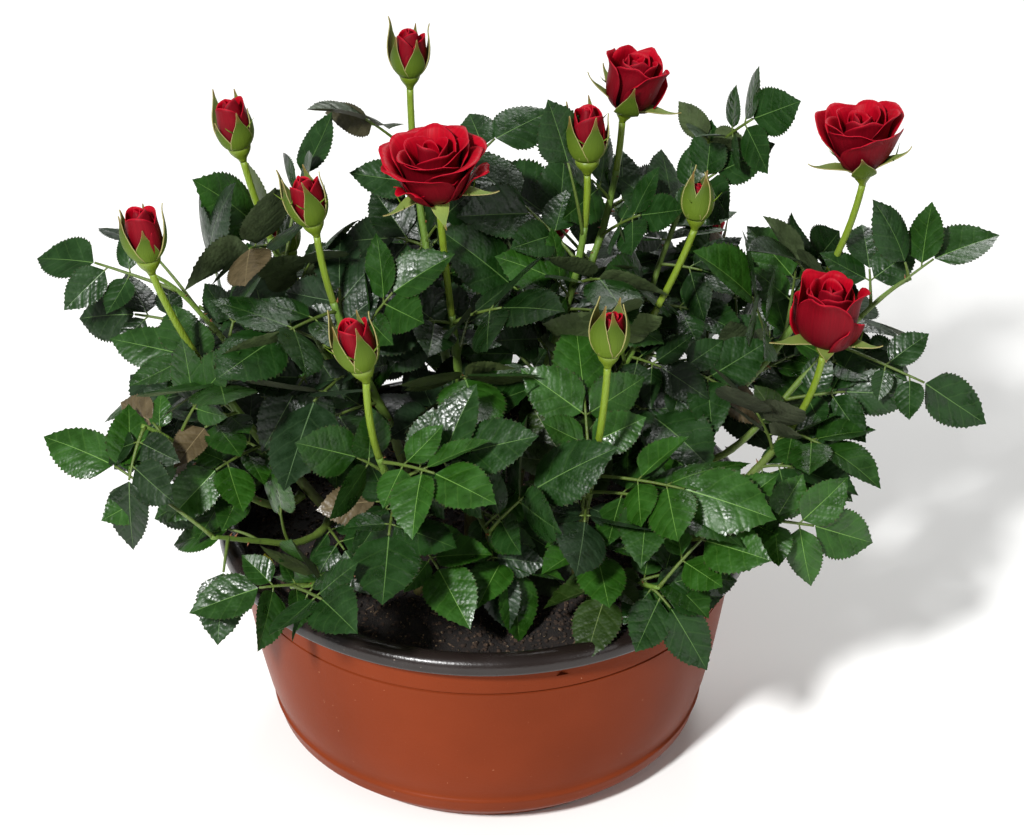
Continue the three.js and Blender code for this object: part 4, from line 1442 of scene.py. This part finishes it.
def make_leaves(settings):
    lengths = [settings.end_leaflet / MM, settings.near_pair / MM, settings.far_pair / MM]
    quarter_of = {name: quarter for quarter, names in QUARTERS.items() for name in names}
    crown = Crown()
    plans = grow_planned(crown, quarter_of, lengths)
    grow_between(crown, quarter_of, lengths, plans, settings.fill)
    # A small yellowed leaf by the wall of the bowl.
    crown.blade("left", vec(-109, -48, 110), unit(vec(0.1, -0.1, 1)), vec(0.3, -1, 0.2), 15, YELLOW, Draw(4))

    stalk_skin = living_bark("leaf_stalk_skin", tone("57482a"), settings.petiole_color)
    shapes = [blade_mesh(f"blade_{i}", form, settings.leaflet_width) for i, form in enumerate(BLADE_FORMS)]
    blades = pattern_set("blade", shapes)
    tree = leaflet_tree(leaf_finishes(settings.leaf_rough))
    for quarter, names in QUARTERS.items():
        feet, turns, sizes, forms, tints = zip(*crown.feet[quarter])
        mesh = bpy.data.meshes.new(f"feet_{quarter}")
        mesh.from_pydata((np.array(feet) * MM).tolist(), [], [])
        put_values(mesh, "turn", "FLOAT_VECTOR", "POINT", turns)
        put_values(mesh, "size", "FLOAT_VECTOR", "POINT", np.array(sizes) * MM)
        put_values(mesh, "form", "INT", "POINT", forms)
        put_values(mesh, "tint", "INT", "POINT", tints)
        nodes = [f"leaves_{name}" for name in names]
        foliage, stalks = f"foliage_{quarter}", f"leaf_stalks_{quarter}"
        settle(foliage, grow(foliage, mesh, tree, Blades=blades, Length_factor=1.0), nodes)
        settle(stalks, crown.stalks[quarter].mesh(stalks, [stalk_skin]), nodes)
    drop_patterns(blades)


# ---- Blooms -------------------------------------------------------------------------------------


def two_sided(shell, points, thick, outside, inside, edge=None):
    """A closed skin of two faces about a grid of points. edge is its border's finish, if it has its own."""
    rows, columns = points.shape[:2]
    du = np.gradient(points, axis=1)
    dv = np.gradient(points, axis=0)
    normal = np.cross(du, dv)
    normal /= np.maximum(np.linalg.norm(normal, axis=2, keepdims=True), 1e-9)
    front, back = points + normal * thick / 2, points - normal * thick / 2
    count = rows * columns
    out_faces = grid_faces(rows, columns)
    faces = out_faces + [[i + count for i in face[::-1]] for face in out_faces]
    kinds = [outside] * len(out_faces) + [inside] * len(out_faces)
    if edge is not None:
        for k in range(len(out_faces)):
            column = k % (columns - 1)
            if column in (0, columns - 2):
                kinds[k] = kinds[k + len(out_faces)] = edge
    loop = list(range(columns)) + [i * columns + columns - 1 for i in range(1, rows)]
    loop += [(rows - 1) * columns + j for j in range(columns - 2, -1, -1)]
    loop += [i * columns for i in range(rows - 2, 0, -1)]
    for a, b in zip(loop, loop[1:] + loop[:1]):
        faces.append([b, a, a + count, b + count])
        kinds.append(outside if edge is None else edge)
    u, v = np.meshgrid(np.linspace(0, 1, columns), np.linspace(0, 1, rows))
    uv = np.stack([u, v], -1).reshape(-1, 2)
    skin = np.concatenate([front.reshape(-1, 3), back.reshape(-1, 3)])
    shell.add(skin, faces, kinds, uv=np.concatenate([uv, uv]))


def swept(ways, length, foot, lift):
    """Radius and height along a centre line whose angle from upright is given at even steps."""
    step = length / (len(ways) - 1)
    mids = (ways[1:] + ways[:-1]) / 2
    r = foot + np.concatenate([[0], np.cumsum(np.sin(mids))]) * step
    z = lift + np.concatenate([[0], np.cumsum(np.cos(mids))]) * step
    return r, z


PETAL_ROWS = PETAL_COLUMNS = 13


def petal_points(turn, width, length, foot, lift, ways, round_r, skew, wave, phase, top, side_roll=0.0):
    """A petal as a grid about the bloom's own axis. ways gives its angle from upright at foot, belly and rim;
    round_r is how tightly it curves round, as a share of its distance from the axis."""
    s = np.linspace(0, 1, 61)
    angles = np.radians(np.interp(s, np.linspace(0, 1, len(ways)), ways))
    angles = np.convolve(np.pad(angles, 4, mode="edge"), np.ones(9) / 9, mode="valid")
    r_line, z_line = swept(angles, length, foot, lift)
    u, v = np.meshgrid(np.linspace(-1, 1, PETAL_COLUMNS), np.linspace(0, 1, PETAL_ROWS))
    along = v * (1 - top * u**2)
    r, z = np.interp(along, s, r_line), np.interp(along, s, z_line)
    half = width / 2 * (1 - (1 - v) ** 2.2 * 0.62) * (1 - 0.22 * v**6)
    bend_r = np.maximum(r * round_r, 1.6)
    swing = u * half / bend_r
    sideways = bend_r * np.sin(swing)
    r = r - bend_r * (1 - np.cos(swing)) + skew * u * half * 0.2
    r = r + side_roll * np.abs(u) ** 3 * v**2
    ripple = wave * v**3 * np.sin(u * 5.2 + phase)
    r, z = r + ripple, z + ripple * 0.6 * np.cos(u * 3.1 + phase * 2)
    c, n = math.cos(turn), math.sin(turn)
    return np.stack([r * c - sideways * n, r * n + sideways * c, z], -1)


# Blooms that lean their own way and not as their stalk does.
TILTS = {
    "centre": (-0.12, -0.12), "right": (-0.1, -0.04), "upper_right": (0.2, -0.08), "right_low": (0.06, -0.06),
    "rear": (0.1, 0.5), "left": (-0.13, 0), "mid_left": (-0.22, 0), "front_left": (-0.22, 0),
    "right_inner": (0.06, 0),
}  # fmt: skip


def bloom_pose(name):
    """Turns and moves points from a bloom's own axis to its stalk's end."""
    lean = TILTS.get(name, FLOWERING[name]["lean"])
    z = unit(vec(*lean, 1))
    axis = np.cross(UP, z)
    sine = np.linalg.norm(axis)
    basis = np.eye(3)
    if sine > 1e-9:
        basis = np.stack([turned(v, axis / sine, math.asin(sine)) for v in np.eye(3)], 1)
    head = CURVES[name].at(1)
    return lambda points: np.asarray(points) @ basis.T + head


# Each open rose: petals wound about its heart, how high they stand, the first turn, how early they open, the
# angles from upright along an outermost petal from foot to rim, and the low petals that hug it:
# their turn, lean, and shares of the full width and height.
ROSE_FORMS = {
    "centre": dict(
        petals=16, height=35, start=1.9, early=0.66, ways=(80, 58, 27, 14, 48, 118),
        low=((-1.2, 0.2, 0.5, 0.6), (-2.3, 0.6, 0.34, 0.74), (-0.15, 0.9, 0.34, 0.86), (2.2, 0.5, 0.5, 0.7)),
    ),
    "right": dict(petals=15, height=35, start=3.2, early=0.8, ways=(52, 38, 26, 22, 34, 82), low=()),
    "upper_right": dict(
        petals=12, height=32, start=4.2, early=1.0, ways=(66, 42, 12, 2, 4, 52), low=((0.3, 0.2, 0.5, 0.75),),
    ),
    "right_low": dict(
        petals=12, height=37, start=3.3, early=1.0, ways=(74, 44, 7, -1, 8, 62),
        low=((-0.8, 0.04, 0.56, 0.64), (2.5, 0.1, 0.5, 0.75)),
    ),
    "rear": dict(
        petals=16, height=31, start=0.4, early=0.8, ways=(80, 56, 25, 12, 32, 95),
        low=((1.6, 0.5, 0.5, 0.75), (3.4, 0.7, 0.5, 0.75)),
    ),
}  # fmt: skip
HEART_WAYS = vec(16, 22, 5, -5, -12, -18)
LOW_WAYS = (vec(86, 62, 26, 10, 4, 8), vec(88, 68, 34, 30, 84, 150))
SEPAL_WIDTH = ([0, 0.12, 0.35, 0.55, 0.72, 0.86, 1], [0.8, 1, 0.94, 0.66, 0.3, 0.12, 0.03])


def rose_petals(shell, name, inside, outside):
    form, width = ROSE_FORMS[name], FLOWERING[name]["width"]
    place, draw = bloom_pose(name), Draw(sum(map(ord, name)) * 97)
    height, outermost = form["height"], vec(*form["ways"])
    petals = []
    for i in range(form["petals"]):
        a = i / (form["petals"] - 1)
        share = a ** form["early"]
        ways = HEART_WAYS * (1 - share) + outermost * share
        ways = ways + vec(0, 0, draw(-3, 3), draw(-3, 3), draw(-6, 6), draw(-14, 14) * (0.3 + a))
        wide = width * (0.34 + 0.54 * a**0.8) * draw(0.92, 1.08)
        long = height * (0.84 + 0.16 * a) * draw(0.96, 1.04)
        petals.append((form["start"] + i * GOLDEN_STEP + draw(-0.2, 0.2), ways, wide, long, a))
    for turn, lean, wide, long in form["low"]:
        petals.append((turn, LOW_WAYS[0] * (1 - lean) + LOW_WAYS[1] * lean, width * wide, height * long, 1.25))
    for turn, ways, wide, long, a in petals:
        skew, wave = 0.7 if a < 0.75 else 0.4, 0.3 + 1.1 * a
        points = petal_points(
            turn, wide, long, 1.0 + 3.4 * a, 8.4 - 1.0 * a, ways, 1.0 + 0.2 * a, skew, wave,
            phase=draw(0, WHOLE_TURN), top=0.14 + 0.08 * a, side_roll=1.2 * a,
        )  # fmt: skip
        # The widest petals are drawn in to the bloom's own width.
        reach = np.hypot(points[..., 0], points[..., 1])
        limit = (width / 2 + 1.0) * 0.85
        drawn_in = (limit + (reach - limit) * 0.4) / np.maximum(reach, 1e-6)
        points[..., :2] *= np.where(reach > limit, drawn_in, 1)[..., None]
        two_sided(shell, place(points), 0.3, outside, inside)


# Each bud: its size, how far it has opened, and the lengths of its five sepals, the first one in front.
BUD_FORMS = {
    "top": (0.98, 0.2, (0.8, 1.0, 0.9, 1.1, 0.85)),
    "upper_left": (1.05, 0.3, (0.72, 0.66, 0.9, 1.0, 0.55)),
    "mid_left": (0.98, 0.15, (0.95, 0.9, 1.0, 1.1, 1.0)),
    "left": (1.08, 0.3, (0.62, 0.88, 0.8, 0.85, 0.85)),
    "mid_right": (1.15, 0.25, (0.8, 0.75, 0.9, 0.9, 0.8)),
    "right_inner": (0.92, 0.0, (1.0, 1.05, 1.0, 1.1, 1.0)),
    "front_right": (0.98, 0.05, (0.92, 0.98, 1.0, 1.1, 1.05)),
    "front_left": (1.02, 0.2, (0.9, 1.0, 0.9, 1.1, 0.95)),
    "rear_left": (1.0, 0.3, (0.9, 0.9, 0.9, 0.9, 0.9)),
    "rear_right": (1.0, 0.4, (0.8, 0.9, 0.8, 0.9, 0.9)),
}


BUD_PETALS = 6


def bud_petals(shell, name, inside, outside):
    """Petals wrapped round one another, the outer ones shorter, with their tips just parting."""
    size, opened, _ = BUD_FORMS[name]
    place, draw = bloom_pose(name), Draw(sum(map(ord, name)) * 131)
    for i in range(BUD_PETALS):
        a = i / (BUD_PETALS - 1)
        turn = i * GOLDEN_STEP + draw(0, 0.3) + size * 7
        swell = 20 + 26 * a
        ways = vec(
            swell + 14, swell * 0.75, -2 + 5 * a, -13 + 8 * a,
            -22 + 12 * a + 12 * opened * a, -26 + (18 + 50 * opened) * a,
        )  # fmt: skip
        ways -= max(0.0, 1 - opened / 0.1) * vec(6, 8, 10, 14, 14, 12)
        long = (25.5 - 2.6 * a + draw(-0.7, 0.7)) * size * (0.8 + 2 * min(opened, 0.1))
        wave = 0.15 + 0.5 * a * opened
        points = petal_points(
            turn, (15 + 15 * a) * size, long, 1.2 + 2.6 * a, 7.4, ways, 1.0, 0.95, wave,
            phase=draw(0, WHOLE_TURN), top=0.30,
        )  # fmt: skip
        two_sided(shell, place(points), 0.28, outside, inside)


def sepal(shell, place, turn, width, length, ways, foot, lift, fold, draw, lobes=0.55):
    """A green sepal with a paler edge, two fine side lobes on some and a long thin tip."""
    rows = 15
    spread = np.array([-1, -0.94, -0.6, -0.28, 0, 0.28, 0.6, 0.94, 1])
    columns = len(spread)
    s = np.linspace(0, 1, 61)
    angles = np.radians(np.interp(s, np.linspace(0, 1, len(ways)), ways))
    r_line, z_line = swept(angles, length, foot, lift)
    u, v = np.meshgrid(spread, np.linspace(0, 1, rows))
    r, z = np.interp(v, s, r_line), np.interp(v, s, z_line)
    half = np.interp(v, *SEPAL_WIDTH) * width / 2
    bend_r = np.maximum(r, 2.0) * fold
    swing = u * half / bend_r
    sway = draw(-2.5, 2.5) * v**2
    sideways = bend_r * np.sin(swing) + sway
    r = r - bend_r * (1 - np.cos(swing))
    c, n = math.cos(turn), math.sin(turn)
    points = np.stack([r * c - sideways * n, r * n + sideways * c, z], -1)
    two_sided(shell, place(points), 0.5, 0, 1, edge=2)
    if draw() < lobes:
        at = int(rows * draw(0.4, 0.6))
        for side, column in ((1, columns - 1), (-1, 0)):
            root = points[at, column]
            out = unit(vec(-n * side, c * side, draw(0.5, 1.1)) + vec(c, n, 0) * draw(0.1, 0.5))
            lobe = [root - out * 0.3, root + out * 2.2, root + out * draw(4, 6) + vec(0, 0, 0.6)]
            tube(shell, place(lobe), [0.42, 0.3, 0.08], 5)


# Radius and height of a hip's side, from its foot to its neck.
HIP_SIDE = [
    (1.68, -0.6), (2.0, 0.6), (2.7, 1.8), (3.7, 3.1), (4.6, 4.5), (5.15, 5.9), (5.35, 7.1), (5.1, 7.9),
    (3.6, 8.6),
]  # fmt: skip
HIP_AROUND = 20


def hip(shell, place, size):
    angles = np.arange(HIP_AROUND) * 2 * math.pi / HIP_AROUND
    points = [vec(r * size * math.cos(a), r * size * math.sin(a), z) for r, z in HIP_SIDE for a in angles]
    points += [vec(0, 0, HIP_SIDE[0][1]), vec(0, 0, HIP_SIDE[-1][1])]
    shell.add(place(points), ring_stack(len(HIP_SIDE), HIP_AROUND), HIP_SKIN)


HIP_SKIN = 3  # its place among the greens
FRONT = -math.pi / 2
# Lean from upright and length of each open rose's five sepals, the first one in front.
ROSE_SEPALS = {
    "centre": ((150, 17), (96, 27), (100, 22), (100, 22), (112, 24)),
    "right": ((40, 21), (62, 25), (80, 20), (80, 24), (74, 27)),
    "upper_right": ((14, 25), (84, 24), (60, 20), (58, 22), (52, 27)),
    "right_low": ((96, 15), (84, 25), (84, 20), (80, 22), (92, 25)),
    "rear": ((100, 20), (110, 22), (90, 24), (100, 22), (95, 24)),
}


def rose_sepals(shell, name, place, draw):
    """Sepals that hang or stand off under a rose. One that stands up follows the outer petals."""
    for k, (lean, long) in enumerate(ROSE_SEPALS[name]):
        turn = FRONT + k * 2 * math.pi / 5 + draw(-0.15, 0.15)
        if lean < 50:
            form = ROSE_FORMS[name]
            along = np.interp(np.linspace(0, long / form["height"], 6), np.linspace(0, 1, 6), form["ways"])
            sepal(shell, place, turn, 13.0, long, along + vec(0, 0, 2, 3, 6, 16), 6.9, 7.0, 1.0, draw, lobes=0)
        else:
            ways = (50, lean * 0.75, lean, lean + 4, lean - 8, lean - draw(10, 45))
            sepal(shell, place, turn, 9.4, long, ways, 4.6, 7.6, 1.1, draw)


def bud_sepals(shell, name, place, draw):
    """Sepals that clasp a bud, the further off it the more it has opened."""
    size, opened, long = BUD_FORMS[name]
    shut = max(0.0, 1 - opened / 0.1)
    wide = 11.8 if opened > 0.1 else 15.2
    for k in range(5):
        turn = FRONT + 0.35 + k * 2 * math.pi / 5 + draw(-0.16, 0.16)
        away = draw(0, 1) * opened
        ways = vec(46, 24, 5, -7, -13, draw(-12, 18)) + vec(0, 10, 14, 24, 34, 30) * away
        ways -= shut * vec(6, 8, 12, 16, 16, 14)
        length, foot, lift = 27.5 * long[k] * size, 5.4 * size, 7.5 * size
        sepal(shell, place, turn, wide * size, length, ways, foot, lift, 1.0, draw, lobes=0.35)


def make_blooms(settings):
    # The petals' heart tone is painted shade deep in the blooms, and the colour of their veins.
    heart, edge, brown = settings.petal_shade_and_veins, settings.petal_edge, tone("74502c")
    petals = [
        petal_finish("petal_inside", heart, settings.petal_inside, edge, 0.5),
        petal_finish("petal_outside", heart, settings.petal_outside, edge, 0.55),
    ]
    greens = [
        petal_finish("sepal_outside", tone("5a7020"), settings.sepal_color, brown, 0.5, 0.72),
        petal_finish("sepal_inside", tone("7c883c"), settings.sepal_inside, brown, 0.6, 0.8),
        material("sepal_edge", tone("8c8650"), 0.6),
        material("hip_skin", settings.hip_color, 0.38),
    ]
    roses, buds, calyx = Shell(), Shell(), Shell()
    for name, shoot in FLOWERING.items():
        draw = Draw(sum(map(ord, name)) * 11)
        place = bloom_pose(name)
        if shoot["bloom"] == "rose":
            rose_petals(roses, name, 0, 1)
            hip(calyx, place, 0.92)
            rose_sepals(calyx, name, place, draw)
        else:
            bud_petals(buds, name, 0, 1)
            hip(calyx, place, BUD_FORMS[name][0])
            bud_sepals(calyx, name, place, draw)
    kinds = {
        kind: [f"{kind}_{name}" for name, shoot in FLOWERING.items() if shoot["bloom"] == kind]
        for kind in ("rose", "bud")
    }
    settle("rose_petals", roses.mesh("rose_petals", petals), kinds["rose"])
    settle("bud_petals", buds.mesh("bud_petals", petals), kinds["bud"])
    settle("sepals_and_hips", calyx.mesh("sepals_and_hips", greens), kinds["rose"] + kinds["bud"])


# ---- Stage --------------------------------------------------------------------------------------


FLOOR_HALF, FLOOR_DROP = 9, 0.0002
# Place, width and power of each lamp.
LAMPS = {
    "key": ((-1.0, -1.95, 1.95), 0.3, 108),
    "fill": ((1.9, -1.4, 1.3), 1.6, 7),
    "back": ((0.4, 1.9, 1.9), 1.2, 34),
}
SKY_STRENGTH = 0.25


def area_light(name, place, target, width, power):
    data = bpy.data.lights.new(name, "AREA")
    data.shape, data.size, data.energy = "DISK", width, power
    lamp = link(name, data)
    lamp.location = place
    lamp.rotation_mode = "QUATERNION"
    lamp.rotation_quaternion = (Vector(place) - target).to_track_quat("Z", "Y")


def make_stage(settings):
    floor_mesh = bpy.data.meshes.new("floor")
    corners = [(x * FLOOR_HALF, y * FLOOR_HALF, -FLOOR_DROP) for x, y in ((-1, -1), (1, -1), (1, 1), (-1, 1))]
    floor_mesh.from_pydata(corners, [], [[0, 1, 2, 3]])
    floor_mesh.materials.append(material("floor", settings.floor_color, 0.85))
    link("floor", floor_mesh)
    target = Vector(MIDDLE * MM)
    for name, (place, width, power) in LAMPS.items():
        area_light(name, place, target, width, power)
    scene = bpy.context.scene
    scene.view_settings.view_transform = "Standard"
    scene.world = scene.world or bpy.data.worlds.new("World")
    scene.world.use_nodes = True
    sky = scene.world.node_tree.nodes["Background"].inputs
    sky["Color"].default_value = (1, 1, 1, 1)
    sky["Strength"].default_value = SKY_STRENGTH
    data = bpy.data.cameras.new("camera")
    data.lens, data.sensor_width, data.clip_end = settings.lens, 36, 50
    camera = link("camera", data)
    distance, rise = settings.distance, settings.elevation
    x, y, z = MIDDLE * MM
    camera.location = (x, y - distance * math.cos(rise), z + distance * math.sin(rise))
    camera.rotation_euler = (math.pi / 2 - rise, 0, 0)
    scene.camera = camera


# ---- Operators and panel ------------------------------------------------------------------------


class ROSE_OT_stage(bpy.types.Operator):
    """Sets out the floor, the lights and the camera"""

    bl_idname = "rose.stage"
    bl_label = "Stage"

    def execute(self, context):
        make_stage(context.scene.rose_stage)
        return {"FINISHED"}


class ROSE_OT_bowl(bpy.types.Operator):
    """Makes the planting bowl with its ribs, groove and slot"""

    bl_idname = "rose.bowl"
    bl_label = "Planting bowl"

    def execute(self, context):
        make_bowl(context.scene.rose_bowl)
        return {"FINISHED"}


class ROSE_OT_rim(bpy.types.Operator):
    """Makes the dark liner with its rolled rim"""

    bl_idname = "rose.rim"
    bl_label = "Rolled rim"

    def execute(self, context):
        make_rim(context.scene.rose_bowl)
        return {"FINISHED"}


class ROSE_OT_soil(bpy.types.Operator):
    """Makes the soil and strews its crumbs and fibres"""

    bl_idname = "rose.soil"
    bl_label = "Soil"

    def execute(self, context):
        make_soil(context.scene.rose_soil)
        return {"FINISHED"}


class ROSE_OT_stems(bpy.types.Operator):
    """Makes the canes, stems and flower stalks with prickles and bristles"""

    bl_idname = "rose.stems"
    bl_label = "Canes and stalks"

    def execute(self, context):
        make_stems(context.scene.rose_stems)
        return {"FINISHED"}


class ROSE_OT_leaves(bpy.types.Operator):
    """Grows the compound leaves on every shoot"""

    bl_idname = "rose.leaves"
    bl_label = "Leaves"

    def execute(self, context):
        make_leaves(context.scene.rose_leaves)
        return {"FINISHED"}


class ROSE_OT_blooms(bpy.types.Operator):
    """Makes the open roses, the buds, their sepals and hips"""

    bl_idname = "rose.blooms"
    bl_label = "Roses and buds"

    def execute(self, context):
        make_blooms(context.scene.rose_blooms)
        return {"FINISHED"}


OPERATORS = (
    ROSE_OT_stage, ROSE_OT_bowl, ROSE_OT_rim, ROSE_OT_soil, ROSE_OT_stems, ROSE_OT_leaves, ROSE_OT_blooms,
)  # fmt: skip
SETTINGS = {
    "rose_stage": RoseStageSettings,
    "rose_bowl": RoseBowlSettings,
    "rose_soil": RoseSoilSettings,
    "rose_stems": RoseStemSettings,
    "rose_leaves": RoseLeafSettings,
    "rose_blooms": RoseBloomSettings,
}


class ROSE_PT_panel(bpy.types.Panel):
    """Settings and pieces of the potted rose"""

    bl_label = "Potted rose"
    bl_idname = "ROSE_PT_panel"
    bl_space_type = "VIEW_3D"
    bl_region_type = "UI"
    bl_category = "Rose"

    def draw(self, context):
        for name, group in SETTINGS.items():
            box = self.layout.box()
            for label in group.__annotations__:
                box.prop(getattr(context.scene, name), label)
        for operator in OPERATORS:
            self.layout.operator(operator.bl_idname)


def register():
    for group in (*SETTINGS.values(), *OPERATORS, ROSE_PT_panel):
        bpy.utils.register_class(group)
    for name, group in SETTINGS.items():
        setattr(bpy.types.Scene, name, bpy.props.PointerProperty(type=group))


def unregister():
    for name in SETTINGS:
        delattr(bpy.types.Scene, name)
    for group in (ROSE_PT_panel, *reversed(OPERATORS), *reversed(SETTINGS.values())):
        bpy.utils.unregister_class(group)


def main():
    register()
    for step in (
        bpy.ops.rose.stage,
        bpy.ops.rose.bowl,
        bpy.ops.rose.rim,
        bpy.ops.rose.soil,
        bpy.ops.rose.stems,
        bpy.ops.rose.leaves,
        bpy.ops.rose.blooms,
    ):
        step()
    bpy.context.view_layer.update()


if __name__ == "__main__":
    main()
